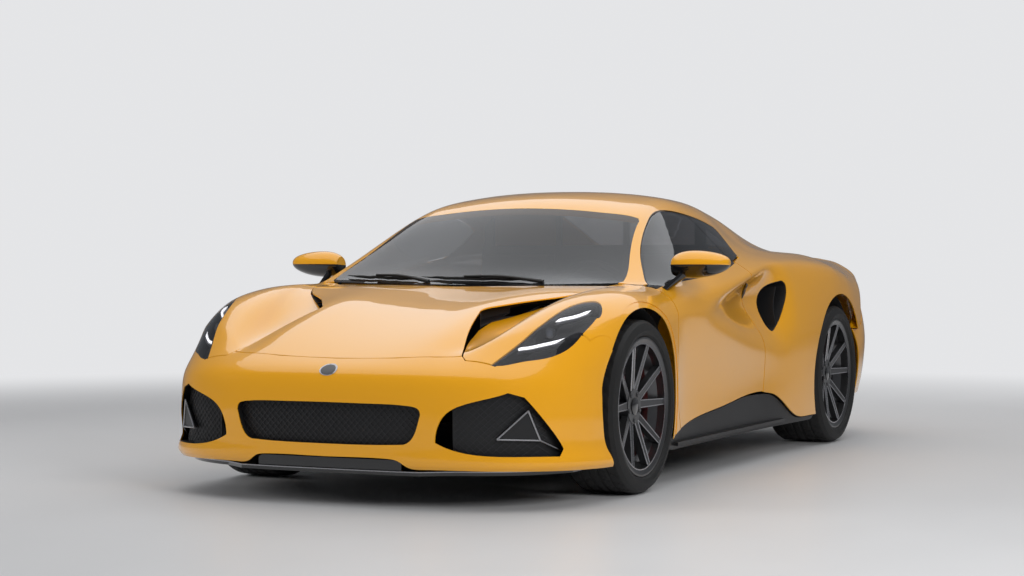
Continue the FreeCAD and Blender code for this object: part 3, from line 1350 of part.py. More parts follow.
def steering_wheel():
    """Wheel rim with three spokes and its boss."""
    ring = 172.0
    grip = 15.0
    boss = 52.0
    spoke = 12.0
    wheel = Part.makeTorus(ring, grip, Vector(0, 0, 0), Vector(0, 0, 1))
    pieces = [Part.makeCylinder(boss, steering_boss_depth, Vector(0, 0, -steering_boss_depth / 2), Vector(0, 0, 1))]
    for turn in (0, 90, 180):
        spoke_bar = Part.makeCylinder(spoke, ring, Vector(0, 0, 0), Vector(1, 0, 0))
        spoke_bar.rotate(Vector(0, 0, 0), Vector(0, 0, 1), turn)
        pieces.append(spoke_bar)
    wheel = wheel.multiFuse(pieces).removeSplitter()
    wheel.rotate(Vector(0, 0, 0), Vector(1, 0, 0), steering_lean - 90)
    wheel.translate(Vector(half_width * .385, steering_y, steering_z))
    return wheel


def mirror_unit():
    """Door mirror: rounded housing on an arm from the corner of the window."""
    reach_shares = [(.843, .045, .032, .722), (.885, .060, .044, .726), (.960, .066, .046, .728),
                    (1.040, .058, .036, .730), (1.088, .035, .020, .732), (1.1, .012, .008, .733)]
    place = station(1.236)
    rings = []
    for across, long_half, tall_half, height in reach_shares:
        ring = Part.makeCircle(1, Vector(0, 0, 0), Vector(1, 0, 0))
        matrix = FreeCAD.Matrix()
        matrix.scale(1, half_width * long_half, overall_height * tall_half)
        matrix.move(Vector(half_width * across, place, overall_height * height))
        rings.append(Part.Wire([ring.transformGeometry(matrix)]))
    head = Part.makeLoft(rings, True, False)
    foot = Vector(half_width * .860, station(1.172), overall_height * .640)
    joint = Vector(half_width * .90, place, overall_height * .700)
    stem = Part.makeCylinder(mirror_stem, (joint - foot).Length, foot, joint - foot)
    unit = head.fuse(stem)
    door_side = skin_patch(station(1.1), station(1.35), 7, edge_column, -seat_gap, door_thickness / 2)
    return main_solid(unit.cut(door_side))


def engine():
    """Engine and gearbox as one plain block at its real place and size."""
    half = engine_half_width - seat_gap
    low = ground_clearance + tub_sheet + seat_gap
    return block(-half, half, station(1.70), station(1.96), low, overall_height * .60)


def exhaust():
    """Silencer with its two tail pipes."""
    half = half_width * pipe_shares[0] + pipe_radius
    tall = 170.0
    wall = 3.0
    height = overall_height * pipe_shares[1]
    front = station(undertray_back_share)
    back = station(2.72)
    box = block(-half, half, front, back, height - tall / 2, height + tall / 2)
    for side in (-1, 1):
        centre = Vector(side * half_width * pipe_shares[0], back, height)
        run = tail_y - rear_overhang * .035 - back
        tube = Part.makeCylinder(pipe_radius, run, centre, Vector(0, 1, 0))
        hole = Part.makeCylinder(pipe_radius - wall, run, centre + Vector(0, wall, 0), Vector(0, 1, 0))
        box = box.fuse(tube).cut(hole)
        strap = sorted((side * beam_inner, side * (beam_inner + lug_thickness)))
        rest = ground_clearance + tub_sheet + tub_wall + beam_height + seat_gap
        box = box.fuse(block(strap[0], strap[1], front - tub_wall, front + tub_wall, rest, height))
    return box.removeSplitter()


def arch_liner(front):
    """Liner over a wheel, from the inner wall of its arch out to the skin."""
    radius = front_arch_radius if front else rear_arch_radius
    wheel_radius = front_wheel_radius if front else rear_wheel_radius
    axle_y = front_axle_y if front else rear_axle_y
    inner = beam_outer + seat_gap
    outer = half_width * (.91 if front else .93)
    wall = 3.0
    across = Vector(1, 0, 0)
    shell = Part.makeCylinder(radius + wall * 2, outer - inner, Vector(inner, axle_y, wheel_radius), across)
    room = Part.makeCylinder(radius + wall, outer - inner - wall, Vector(inner + wall, axle_y, wheel_radius), across)
    shell = shell.cut(room)
    foot = ground_clearance + tub_sheet + tub_wall + beam_height - 2 * wall
    keep = block(0, half_width, axle_y - radius * 2, axle_y + radius * 2, foot, overall_height)
    slot = block(0, inner + wall * 2, axle_y - radius * .55, axle_y + radius * .55, 0, wheel_radius + radius * .62)
    shell = shell.common(keep).cut(slot)
    if front:
        shell = shell.cut(skin_patch(station(.5), station(1.2), 2, 16, wing_over, wing_under))
    return main_solid(shell)


parts = {}


def corner_name(front, side):
    return ("front_" if front else "rear_") + side


def add_wheels():
    for front in (True, False):
        values = wheel_set(front)
        for side in ("left", "right"):
            place = corner_name(front, side)
            turn = (lambda shape: shape) if side == "left" else mirrored
            parts["tyre_" + place] = turn(tyre(*values))
            parts["rim_" + place] = turn(rim(*values))
            parts["brake_disc_" + place] = turn(brake_disc(*values))
            if front:
                parts["knuckle_" + place] = turn(knuckle(*values, 1))
                parts["caliper_" + place] = turn(caliper(*values, caliper_front_turn))
    values = wheel_set(False)
    parts["knuckles_rear"] = both_sides(knuckle(*values, -1))
    parts["calipers_rear"] = both_sides(caliper(*values, caliper_rear_turn))
    parts["suspension_arms"] = suspension_arms()


def add_body():
    parts["tub"] = tub()
    parts["front_bumper"] = front_bumper().cut(front_edge_cut())
    parts["splitter"] = splitter()
    parts["grilles"] = grilles()
    parts["bonnet"] = bonnet()
    parts["wings"] = both_sides(wing())
    parts["headlamps"] = both_sides(headlamp())
    parts["headlamp_lenses"] = both_sides(headlamp_lens())
    parts["windscreen"] = windscreen()
    parts["roof"] = roof()
    parts["quarter_glasses"] = both_sides(quarter_glass())
    parts["rear_quarters"] = both_sides(main_solid(rear_quarter()))
    parts["tailgate"] = tailgate()
    parts["tailgate_glass"] = tailgate_glass()
    parts["rear_bumper"] = main_solid(rear_bumper().cut(tail_lamp_prism(0)).cut(mirrored(tail_lamp_prism(0))))
    parts["tail_lamps"] = both_sides(tail_lamp())
    parts["diffuser"] = diffuser()
    parts["skirts"] = both_sides(skirt())
    parts["bonnet_vents"] = both_sides(bonnet_vent())
    parts["side_intakes"] = both_sides(side_intake())
    parts["arch_liners"] = Part.makeCompound([solid for front in (True, False)
                                              for solid in both_sides(arch_liner(front)).Solids])


def add_doors():
    for side, turn in (("left", lambda shape: shape), ("right", mirrored)):
        parts["door_" + side] = turn(door_panel())
        parts["door_glass_" + side] = turn(door_glass())
        parts["mirror_" + side] = turn(mirror_unit())


def add_cabin():
    parts["seats"] = both_sides(seat())
    parts["dashboard"] = dashboard()
    parts["console"] = console()
    parts["steering_wheel"] = steering_wheel()
    parts["engine"] = engine()
    parts["exhaust"] = exhaust()


add_body()
add_doors()
add_cabin()
add_wheels()
os.makedirs("parts", exist_ok=True)
for name, shape in parts.items():
    print(name, len(shape.Solids), round(shape.Volume / 1e6, 2), shape.isValid())
    shape.exportStep(os.path.join("parts", name + ".step"))
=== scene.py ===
import math

import bmesh
import bpy
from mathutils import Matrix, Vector
from mathutils.bvhtree import BVHTree


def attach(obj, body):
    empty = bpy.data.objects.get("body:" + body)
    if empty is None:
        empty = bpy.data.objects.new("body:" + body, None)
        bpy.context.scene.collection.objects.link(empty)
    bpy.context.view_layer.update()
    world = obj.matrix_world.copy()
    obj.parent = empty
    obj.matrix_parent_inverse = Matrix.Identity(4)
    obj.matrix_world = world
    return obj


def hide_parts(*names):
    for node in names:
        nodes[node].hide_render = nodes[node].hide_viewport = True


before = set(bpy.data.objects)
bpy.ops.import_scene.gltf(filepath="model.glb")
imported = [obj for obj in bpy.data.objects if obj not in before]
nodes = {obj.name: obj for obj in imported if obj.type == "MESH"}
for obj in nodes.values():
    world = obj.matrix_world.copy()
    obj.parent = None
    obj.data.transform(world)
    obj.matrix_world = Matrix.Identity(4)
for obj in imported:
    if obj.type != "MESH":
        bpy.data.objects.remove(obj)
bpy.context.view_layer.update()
scene = bpy.context.scene

SIDES = (("left", 1), ("right", -1))
SIGNS = (1, -1)

# Where rays start, outside the car, and how they run
AHEAD = -3.0
BEHIND = 3.0
BEHIND_MIRROR = 1.0
ABOVE = 2.0
BACKWARD = (0, 1, 0)
FORWARD = (0, -1, 0)
DOWNWARD = (0, 0, -1)
BACKDROP = (0.78, 0.785, 0.80, 1)


# Materials

def finish(name, colour, rough, metal=0.0, coat=0.0, scale=60.0, spread=0.04, bump=0.0, tint=0.04,
           detail=4.0, specular=0.5):
    """A surface with fine changes of tint and gloss, and a bump where it has a grain."""
    mat = bpy.data.materials.new(name)
    mat.use_nodes = True
    tree = mat.node_tree
    shader = tree.nodes["Principled BSDF"]
    shader.inputs["Metallic"].default_value = metal
    shader.inputs["Coat Weight"].default_value = coat
    shader.inputs["Coat Roughness"].default_value = 0.02
    shader.inputs["Specular IOR Level"].default_value = specular
    place = tree.nodes.new("ShaderNodeTexCoord")
    noise = tree.nodes.new("ShaderNodeTexNoise")
    noise.inputs["Scale"].default_value = scale
    noise.inputs["Detail"].default_value = detail
    tree.links.new(place.outputs["Object"], noise.inputs["Vector"])
    gloss = tree.nodes.new("ShaderNodeMapRange")
    gloss.inputs["To Min"].default_value = max(rough - spread, 0.0)
    gloss.inputs["To Max"].default_value = rough + spread
    tree.links.new(noise.outputs["Fac"], gloss.inputs["Value"])
    tree.links.new(gloss.outputs["Result"], shader.inputs["Roughness"])
    ramp = tree.nodes.new("ShaderNodeValToRGB")
    ramp.color_ramp.elements[0].color = [c * (1 - tint) for c in colour] + [1]
    ramp.color_ramp.elements[1].color = [min(c * (1 + tint), 1) for c in colour] + [1]
    tree.links.new(noise.outputs["Fac"], ramp.inputs["Fac"])
    tree.links.new(ramp.outputs["Color"], shader.inputs["Base Color"])
    if bump:
        raised = tree.nodes.new("ShaderNodeBump")
        raised.inputs["Strength"].default_value = bump
        raised.inputs["Distance"].default_value = 0.001
        tree.links.new(noise.outputs["Fac"], raised.inputs["Height"])
        tree.links.new(raised.outputs["Normal"], shader.inputs["Normal"])
    return mat


def paint(name, colour):
    """Gloss car paint: a base coat that deepens at grazing angles, under clear lacquer."""
    mat = finish(name, colour, 0.32, coat=1.0, scale=900.0, spread=0.02, tint=0.02)
    tree = mat.node_tree
    shader = tree.nodes["Principled BSDF"]
    shader.inputs["Coat IOR"].default_value = 1.5
    flake = tree.nodes.new("ShaderNodeTexNoise")
    flake.inputs["Scale"].default_value = 2.2
    flake.inputs["Detail"].default_value = 1.0
    place = tree.nodes["Texture Coordinate"]
    tree.links.new(place.outputs["Object"], flake.inputs["Vector"])
    ripple = tree.nodes.new("ShaderNodeBump")
    ripple.inputs["Strength"].default_value = 0.02
    ripple.inputs["Distance"].default_value = 0.004
    tree.links.new(flake.outputs["Fac"], ripple.inputs["Height"])
    tree.links.new(ripple.outputs["Normal"], shader.inputs["Coat Normal"])
    return mat


def glazing(name, colour, density, clearness):
    """Tinted glass: see-through with a little body, under the clear reflection of its face."""
    mat = finish(name, colour, 0.03, scale=5.0, spread=0.01, tint=0.1)
    tree = mat.node_tree
    clear = tree.nodes.new("ShaderNodeBsdfTransparent")
    clear.inputs["Color"].default_value = (clearness, clearness, clearness * 1.02, 1)
    body = tree.nodes.new("ShaderNodeMixShader")
    body.inputs["Fac"].default_value = density
    face = tree.nodes.new("ShaderNodeBsdfGlossy")
    face.inputs["Roughness"].default_value = 0.015
    face.inputs["Color"].default_value = (0.9, 0.92, 0.95, 1)
    edge = tree.nodes.new("ShaderNodeFresnel")
    edge.inputs["IOR"].default_value = 1.45
    mix = tree.nodes.new("ShaderNodeMixShader")
    tree.links.new(clear.outputs["BSDF"], body.inputs[1])
    tree.links.new(tree.nodes["Principled BSDF"].outputs["BSDF"], body.inputs[2])
    side = tree.nodes.new("ShaderNodeNewGeometry")
    front = tree.nodes.new("ShaderNodeMath")
    front.operation = "SUBTRACT"
    front.inputs[0].default_value = 1.0
    tree.links.new(side.outputs["Backfacing"], front.inputs[1])
    mirror = tree.nodes.new("ShaderNodeMath")
    mirror.operation = "MULTIPLY"
    tree.links.new(edge.outputs["Fac"], mirror.inputs[0])
    tree.links.new(front.outputs["Value"], mirror.inputs[1])
    tree.links.new(mirror.outputs["Value"], mix.inputs["Fac"])
    tree.links.new(body.outputs["Shader"], mix.inputs[1])
    tree.links.new(face.outputs["BSDF"], mix.inputs[2])
    tree.links.new(mix.outputs["Shader"], tree.nodes["Material Output"].inputs["Surface"])
    return mat


def glow(name, colour, strength):
    mat = finish(name, colour, 0.3, scale=300.0)
    shader = mat.node_tree.nodes["Principled BSDF"]
    shader.inputs["Emission Color"].default_value = list(colour) + [1]
    shader.inputs["Emission Strength"].default_value = strength
    return mat


YELLOW = paint("deep_yellow_paint", (0.86, 0.385, 0.001))
GLOSS_BLACK = finish("gloss_black", (0.006, 0.006, 0.007), 0.10, coat=0.8, scale=40.0, spread=0.03)
SATIN_BLACK = finish("satin_black_moulding", (0.012, 0.012, 0.013), 0.42, scale=900.0, spread=0.06,
                     bump=0.15)
# Grained black for trim, liners and vents; on the brake discs it is painted shade inside the drilled holes
GRAIN_BLACK = finish("grained_black_and_hole_shade", (0.026, 0.026, 0.027), 0.62, scale=700.0, spread=0.08, bump=0.5)
CARPET = finish("dark_felt", (0.012, 0.012, 0.013), 0.95, scale=1500.0, spread=0.04, bump=0.9,
                specular=0.1)
STEEL = finish("machined_steel", (0.42, 0.42, 0.43), 0.32, metal=1.0, scale=250.0, spread=0.10, bump=0.1)
CAST = finish("cast_alloy", (0.26, 0.26, 0.27), 0.52, metal=1.0, scale=400.0, spread=0.10, bump=0.4)
GRAPHITE = finish("satin_graphite", (0.105, 0.106, 0.110), 0.34, metal=0.85, coat=0.25, scale=800.0,
                  spread=0.05)
# Bright metal for turned spoke edges and trim rims; along the splitter it is a painted highlight
BRIGHT_EDGE = finish("turned_edge_and_painted_highlight", (0.50, 0.50, 0.52), 0.28, metal=1.0, scale=600.0, spread=0.08)
RUBBER = finish("tyre_rubber", (0.012, 0.012, 0.012), 0.66, scale=500.0, spread=0.08, bump=0.3)
RED = finish("red_enamel", (0.78, 0.012, 0.009), 0.20, coat=0.8, scale=120.0, spread=0.05)
EXHAUST_STEEL = finish("polished_steel", (0.55, 0.54, 0.52), 0.20, metal=1.0, scale=120.0, spread=0.08)
SCREEN_GLASS = glazing("tinted_screen", (0.012, 0.013, 0.014), 0.22, 0.62)
SIDE_GLASS = glazing("tinted_side_glass", (0.010, 0.011, 0.012), 0.26, 0.50)
LAMP_GLASS = glazing("smoked_lamp_cover", (0.010, 0.010, 0.012), 0.06, 0.88)
TAIL_RED = finish("red_lamp", (0.42, 0.006, 0.006), 0.08, coat=1.0, scale=80.0)
LEATHER = finish("black_leather", (0.036, 0.034, 0.033), 0.52, scale=380.0, spread=0.10, bump=0.6)
LED_WHITE = glow("white_light", (1.0, 1.0, 1.0), 1.6)
LAMP_GREY = finish("lamp_grey", (0.10, 0.10, 0.11), 0.30, metal=0.6, scale=200.0)
CLEAR_LENS = finish("lamp_optic", (0.10, 0.11, 0.13), 0.03, coat=1.0, scale=50.0, spread=0.01)
TAIL_GLOW = glow("red_light", (0.80, 0.02, 0.01), 0.55)
SATIN_BLACK_WIRE = finish("black_wire", (0.030, 0.030, 0.032), 0.38, scale=300.0, spread=0.06)
SEAM = finish("seam_thread", (0.16, 0.13, 0.05), 0.7, scale=900.0, spread=0.1, bump=0.4)
MIRROR = finish("mirror_silver", (0.75, 0.76, 0.77), 0.03, metal=1.0, scale=20.0, spread=0.01)

CORNERS = ("front_left", "front_right", "rear_left", "rear_right")


def at_corners(stem, corners=CORNERS):
    return tuple(stem + corner for corner in corners)


LOOKS = {
    YELLOW: ("bonnet", "wings", "front_bumper", "roof", "rear_quarters", "tailgate", "rear_bumper",
             "door_left", "door_right", "mirror_left", "mirror_right"),
    GLOSS_BLACK: ("splitter",),
    SATIN_BLACK: ("skirts", "diffuser", "headlamps", "grilles", "side_intakes"),
    GRAIN_BLACK: ("dashboard", "console", "arch_liners", "bonnet_vents"),
    CARPET: ("tub",),
    LEATHER: ("seats", "steering_wheel"),
    SCREEN_GLASS: ("windscreen", "tailgate_glass"),
    SIDE_GLASS: ("door_glass_left", "door_glass_right", "quarter_glasses"),
    LAMP_GLASS: ("headlamp_lenses",),
    TAIL_RED: ("tail_lamps",),
    CAST: ("engine", "knuckles_rear", "suspension_arms") + at_corners("knuckle_", CORNERS[:2]),
    EXHAUST_STEEL: ("exhaust",),
    STEEL: at_corners("brake_disc_"),
    RED: ("calipers_rear",) + at_corners("caliper_", CORNERS[:2]),
    GRAPHITE: at_corners("rim_"),
    RUBBER: at_corners("tyre_"),
}
for look, names in LOOKS.items():
    for name in names:
        for place in nodes[name].material_slots:
            place.material = look


# Shared shapes

class Shape:
    """Points and faces of one piece, gathered from simple forms."""

    def __init__(self):
        self.points = []
        self.faces = []

    def rod(self, path, radii, sides=8, flat=1.0, up=(0, 0, 1)):
        start = len(self.points)
        for index, place in enumerate(path):
            ahead = (path[min(index + 1, len(path) - 1)] - path[max(index - 1, 0)]).normalized()
            across = ahead.cross(Vector(up)).normalized()
            high = across.cross(ahead)
            for step in range(sides):
                angle = 2 * math.pi * (step + 0.5) / sides
                out = across * math.cos(angle) * flat + high * math.sin(angle)
                self.points.append(place + out * radii[index])
        for index in range(len(path) - 1):
            for step in range(sides):
                a = start + index * sides + step
                b = start + index * sides + (step + 1) % sides
                self.faces.append((a, b, b + sides, a + sides))
        last = start + (len(path) - 1) * sides
        self.faces.append([start + step for step in range(sides)][::-1])
        self.faces.append([last + step for step in range(sides)])

    def bar(self, a, b, radius, sides=4):
        self.rod([a, b], [radius, radius], sides)

    def knob(self, place, axis, radius, height, sides=20):
        axis = Vector(axis)
        path = [place, place + axis * height * 0.6, place + axis * height * 0.9, place + axis * height]
        self.rod(path, [radius, radius, radius * 0.85, radius * 0.55], sides)

    def piece(self, name, look, body, sharp=35.0):
        mesh = bpy.data.meshes.new(name)
        mesh.from_pydata([tuple(point) for point in self.points], [], self.faces)
        return finished(mesh, name, look, body, sharp)


def finished(mesh, name, look, body, sharp=35.0):
    work = bmesh.new()
    work.from_mesh(mesh)
    bmesh.ops.recalc_face_normals(work, faces=work.faces[:])
    work.to_mesh(mesh)
    work.free()
    mesh.polygons.foreach_set("use_smooth", [True] * len(mesh.polygons))
    mesh.set_sharp_from_angle(angle=math.radians(sharp))
    mesh.materials.append(look)
    piece = bpy.data.objects.new(name, mesh)
    scene.collection.objects.link(piece)
    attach(piece, body)
    return piece


def corners_of(name):
    piece = nodes[name]
    return [piece.matrix_world @ vertex.co for vertex in piece.data.vertices]


def box_of(points):
    low = Vector([min(point[axis] for point in points) for axis in range(3)])
    high = Vector([max(point[axis] for point in points) for axis in range(3)])
    return low, high


def surface_tree(*names):
    points, faces = [], []
    for name in names:
        start = len(points)
        points += corners_of(name)
        faces += [[start + index for index in face.vertices] for face in nodes[name].data.polygons]
    return BVHTree.FromPolygons(points, faces)


def smooth_path(points, steps=6):
    points = [Vector(point) for point in points]
    path = []
    for index in range(len(points) - 1):
        before, after = points[max(index - 1, 0)], points[min(index + 2, len(points) - 1)]
        a, b = points[index], points[index + 1]
        for step in range(steps):
            t = step / steps
            square = (2 * before - 5 * a + 4 * b - after) * t * t
            cube = (3 * a - before - 3 * b + after) * t ** 3
            path.append(0.5 * (2 * a + (b - before) * t + (square + cube)))
    return path + [points[-1]]


def tapered(path, radius, ends=0.15):
    """Radii along a path that thin out to its ends."""
    last = len(path) - 1
    rise = 5
    shares = [rise * min(index, last - index) / last for index in range(len(path))]
    return [radius * max(ends, min(1.0, share)) for share in shares]


def hit(tree, origin, aim, lift=0.0):
    """Where a ray meets a surface, moved back along the ray by the lift, or None."""
    place = tree.ray_cast(Vector(origin), Vector(aim))[0]
    return place - Vector(aim) * lift if place else None


def welded(name, reach):
    """A CAD piece's mesh at its place, with the corners that lie within the reach joined."""
    work = bmesh.new()
    work.from_mesh(nodes[name].data)
    work.transform(nodes[name].matrix_world)
    bmesh.ops.remove_doubles(work, verts=work.verts[:], dist=reach)
    work.normal_update()
    return work


def shell_of(name, source, look, body, plane):
    """A thin cover over one side of a CAD piece, cut by a plane."""
    lift = 0.0004
    reach = max(abs(point.x) for point in corners_of(source))
    work = welded(source, 0.00001)
    everything = work.verts[:] + work.edges[:] + work.faces[:]
    bmesh.ops.bisect_plane(work, geom=everything, plane_co=plane[0], plane_no=plane[1], clear_outer=True)
    work.normal_update()
    for vertex in work.verts:
        vertex.co += vertex.normal * lift
        vertex.co.x = max(-reach, min(reach, vertex.co.x))
    mesh = bpy.data.meshes.new(name)
    work.to_mesh(mesh)
    work.free()
    return finished(mesh, name, look, body)


# Tyres and wheels

def around(centre, angle, reach):
    """A point round an axle that runs across the car."""
    return Vector((centre.x, centre.y + reach * math.sin(angle), centre.z + reach * math.cos(angle)))


def tyre_outline(tree, low, high, centre, bead, radius):
    """Points across the tyre, from its inner bead over the tread to the outer one."""
    wall_steps = 7
    wall_share = 0.90
    bead_room = 0.004
    line_depth = 0.0012
    tread_steps = 46
    edge_share = 0.035
    outline = []
    walls = []
    for step in range(wall_steps):
        height = bead + bead_room + (radius * wall_share - bead) * step / wall_steps
        inset = line_depth if step in (2, 4) else 0
        inner = hit(tree, (low.x - 0.05, centre.y, centre.z + height), (1, 0, 0))
        outer = hit(tree, (high.x + 0.05, centre.y, centre.z + height), (-1, 0, 0))
        outline.append((inner.x + inset, height, False))
        walls.append((outer.x - inset, height, False))
    for step in range(tread_steps + 1):
        x = low.x + (high.x - low.x) * (edge_share + (1 - 2 * edge_share) * step / tread_steps)
        place = hit(tree, (x, centre.y, centre.z + radius + 0.05), (0, 0, -1))
        outline.append((x, place.z - centre.z, 3 < step < tread_steps - 3))
    return outline + walls[::-1]


def dress_tyre(corner):
    """Tyre with its tread blocks and grooves, on the outline of the CAD tyre."""
    name = "tyre_" + corner
    turn_count = 216
    groove_depth = 0.006
    cross_depth = 0.0036
    groove_shares = (0.26, 0.42, 0.58, 0.74)
    groove_half_share = 0.021
    points = corners_of(name)
    low, high = box_of(points)
    centre = (low + high) / 2
    bead = min(math.hypot(point.y - centre.y, point.z - centre.z) for point in points)
    outline = tyre_outline(surface_tree(name), low, high, centre, bead, (high.z - low.z) / 2)
    shape = Shape()
    for turn in range(turn_count):
        angle = 2 * math.pi * turn / turn_count
        for x, reach, tread in outline:
            share = (x - low.x) / (high.x - low.x)
            ring = any(abs(share - groove) < groove_half_share for groove in groove_shares)
            skew = int(abs(share - 0.5) * 14)
            cross = (turn + skew) % 6 == 0 and not 0.44 < share < 0.56
            if tread and ring:
                reach -= groove_depth
            elif tread and cross:
                reach -= cross_depth
            shape.points.append(around(Vector((x, centre.y, centre.z)), angle, reach))
    count = len(outline)
    for turn in range(turn_count):
        here = turn * count
        ahead = (turn + 1) % turn_count * count
        for index in range(count):
            beside = (index + 1) % count
            shape.faces.append((here + index, here + beside, ahead + beside, ahead + index))
    piece = shape.piece("tread_" + corner, RUBBER, "wheel_" + corner, 25.0)
    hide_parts(name)


def spoke_edges(corner, centre, outward):
    """Bright strips along the sharp front edges of the spokes."""
    strip_radius = 0.0026
    strip_inset = 0.0006
    inner_reach, outer_reach = 0.072, 0.262
    work = welded("rim_" + corner, 0.00002)
    edges = Shape()
    for edge in work.edges:
        if len(edge.link_faces) != 2 or edge.calc_face_angle(0) < math.radians(40):
            continue
        if max(face.normal.dot(outward) for face in edge.link_faces) < 0.75:
            continue
        a, b = edge.verts[0].co.copy(), edge.verts[1].co.copy()
        middle = (a + b) / 2 - centre
        reach = math.hypot(middle.y, middle.z)
        if inner_reach < reach < outer_reach and middle.dot(outward) > 0:
            edges.bar(a - outward * strip_inset, b - outward * strip_inset, strip_radius)
    work.free()
    edges.piece("spoke_edges_" + corner, BRIGHT_EDGE, "wheel_" + corner)


def dress_wheel(corner, side):
    """Bright spoke edges, centre cap and wheel bolts."""
    cap_radius = 0.034
    bolt_circle = 0.054
    bolt_radius = 0.0105
    low, high = box_of(corners_of("rim_" + corner))
    centre = (low + high) / 2
    outward = Vector((side, 0, 0))
    tree = surface_tree("rim_" + corner)
    spoke_edges(corner, centre, outward)
    cap = Shape()
    face = hit(tree, centre + outward * 0.4, -outward)
    cap.rod([face, face + outward * 0.004, face + outward * 0.007], [cap_radius, cap_radius, 0.022], 40)
    cap.piece("centre_cap_" + corner, GLOSS_BLACK, "wheel_" + corner)
    bolts = Shape()
    for index in range(5):
        place = around(centre, math.radians(72 * index + 36), bolt_circle)
        seat = hit(tree, place + outward * 0.4, -outward)
        bolts.knob(seat - outward * 0.001, outward, bolt_radius, 0.006, 6)
    bolts.piece("wheel_bolts_" + corner, GRAPHITE, "wheel_" + corner)


def dress_disc(corner, side):
    """Drilled holes of the brake disc, shown as flat dark discs of painted shade on its face."""
    hole_radius = 0.0038
    hole_count = 30
    name = "brake_disc_" + corner
    low, high = box_of(corners_of(name))
    outward = Vector((side, 0, 0))
    tree = surface_tree(name)
    # No hole is cut: each is a thin dark disc, painted shade for the hollow of the hole
    holes = Shape()
    for ring, reach in enumerate((0.112, 0.134, 0.156, 0.174)):
        for index in range(hole_count):
            place = around((low + high) / 2, 2 * math.pi * (index + ring * 0.28) / hole_count, reach)
            seat = hit(tree, place + outward * 0.2, -outward)
            holes.rod([seat - outward * 0.001, seat + outward * 0.0003], [hole_radius, hole_radius], 10)
    holes.piece("disc_hole_shades_" + corner, GRAIN_BLACK, "wheel_" + corner)


for end in ("front", "rear"):
    for side_name, side in SIDES:
        dress_tyre(end + "_" + side_name)
        dress_wheel(end + "_" + side_name, side)
        dress_disc(end + "_" + side_name, side)


# Lamps

UPPER_BLADE = ((0.737, -1.769, 0.686), (0.751, -1.745, 0.695), (0.784, -1.699, 0.704),
               (0.804, -1.651, 0.716), (0.814, -1.610, 0.727))
LOWER_BLADE = ((0.649, -1.967, 0.579), (0.667, -1.944, 0.590), (0.699, -1.918, 0.595),
               (0.726, -1.889, 0.602), (0.765, -1.840, 0.613), (0.788, -1.801, 0.627))
PODS = ((0.690, -1.885, 0.640), (0.738, -1.815, 0.662))
LENS_OUTWARD = Vector((0.45, -0.55, 0.70)).normalized()


def under_lens(tree, point, side, depth):
    place = Vector((point[0] * side, point[1], point[2]))
    near, normal = tree.find_nearest(place)[:2]
    out = Vector((LENS_OUTWARD.x * side, LENS_OUTWARD.y, LENS_OUTWARD.z))
    if normal.dot(out) < 0:
        normal = -normal
    return near - (normal + out).normalized() * depth


def front_lamps():
    blade_depth = 0.0108
    blade_radius = 0.0056
    shelf_radius = 0.0085
    pod_depth = 0.030
    pod_radius = 0.021
    dome_radius = 0.016
    tree = surface_tree("headlamp_lenses")
    blades, shelves, pods, domes = Shape(), Shape(), Shape(), Shape()
    for side in SIGNS:
        for line in (UPPER_BLADE, LOWER_BLADE):
            path = smooth_path([under_lens(tree, point, side, blade_depth) for point in line])
            blades.rod(path, tapered(path, blade_radius), 10, 0.8)
            shelf = [place + Vector((0, 0.004, -0.011)) for place in path]
            shelves.rod(shelf, tapered(path, shelf_radius, 0.4), 6, 1.4)
        for place in PODS:
            seat = under_lens(tree, place, side, pod_depth)
            out = Vector((0.25 * side, -0.95, 0.1)).normalized()
            rings = [seat + out * along for along in (-0.012, 0.006, 0.008)]
            pods.rod(rings, [pod_radius, pod_radius, 0.017], 28)
            rings = [seat + out * along for along in (0.004, 0.011, 0.0135)]
            domes.rod(rings, [dome_radius, 0.012, 0.004], 28)
    blades.piece("light_blades", LED_WHITE, "body")
    shelves.piece("lamp_shelves", LAMP_GREY, "body")
    pods.piece("projector_rings", GRAPHITE, "body")
    domes.piece("projector_lenses", CLEAR_LENS, "body")


def tail_lines():
    """Two lit lines along each tail lamp."""
    line_shares = (0.30, 0.70)
    radius = 0.0032
    steps = 24
    row_count = 60
    tree = surface_tree("tail_lamps")
    points = corners_of("tail_lamps")
    low, high = box_of(points)
    inner = min(abs(point.x) for point in points)
    outer = max(abs(point.x) for point in points)
    rows = [low.z + (high.z - low.z) * row / row_count for row in range(row_count + 1)]
    lines = Shape()
    for side in SIGNS:
        for share in line_shares:
            path = []
            for step in range(steps + 1):
                x = side * (inner + (outer - inner) * (0.04 + 0.92 * step / steps))
                seen = [row for row in rows if hit(tree, (x, BEHIND, row), FORWARD)]
                if len(seen) > 6:
                    row = seen[0] + (seen[-1] - seen[0]) * share
                    path.append(hit(tree, (x, BEHIND, row), FORWARD, -0.0012))
            if len(path) > 3:
                lines.rod(path, tapered(path, radius), 8)
    lines.piece("tail_lamp_lines", TAIL_GLOW, "body")


front_lamps()
tail_lines()


# Nose

def mesh_screens():
    """Woven mesh in the openings of the front bumper."""
    pitch = 0.0125
    wire_radius = 0.0013
    lift = 0.0035
    tree = surface_tree("grilles")
    low, high = box_of(corners_of("grilles"))
    columns = int(high.x / pitch) + 1
    rows = int((high.z - low.z) / pitch) + 1
    grid = {}
    for column in range(-columns, columns + 1):
        for row in range(rows + 1):
            if (column + row) % 2 == 0:
                start = Vector((column * pitch, AHEAD, low.z + row * pitch))
                place, normal = tree.ray_cast(start, Vector(BACKWARD))[:2]
                if place and abs(normal.y) > 0.35:
                    grid[column, row] = place - Vector((0, lift, 0))
    wires = Shape()
    for (column, row), place in grid.items():
        for side in (-1, 1):
            other = grid.get((column + side, row + 1))
            if other and (place - other).length < pitch * 2.2:
                wires.bar(place, other, wire_radius)
    wires.piece("grille_mesh", SATIN_BLACK_WIRE, "body")


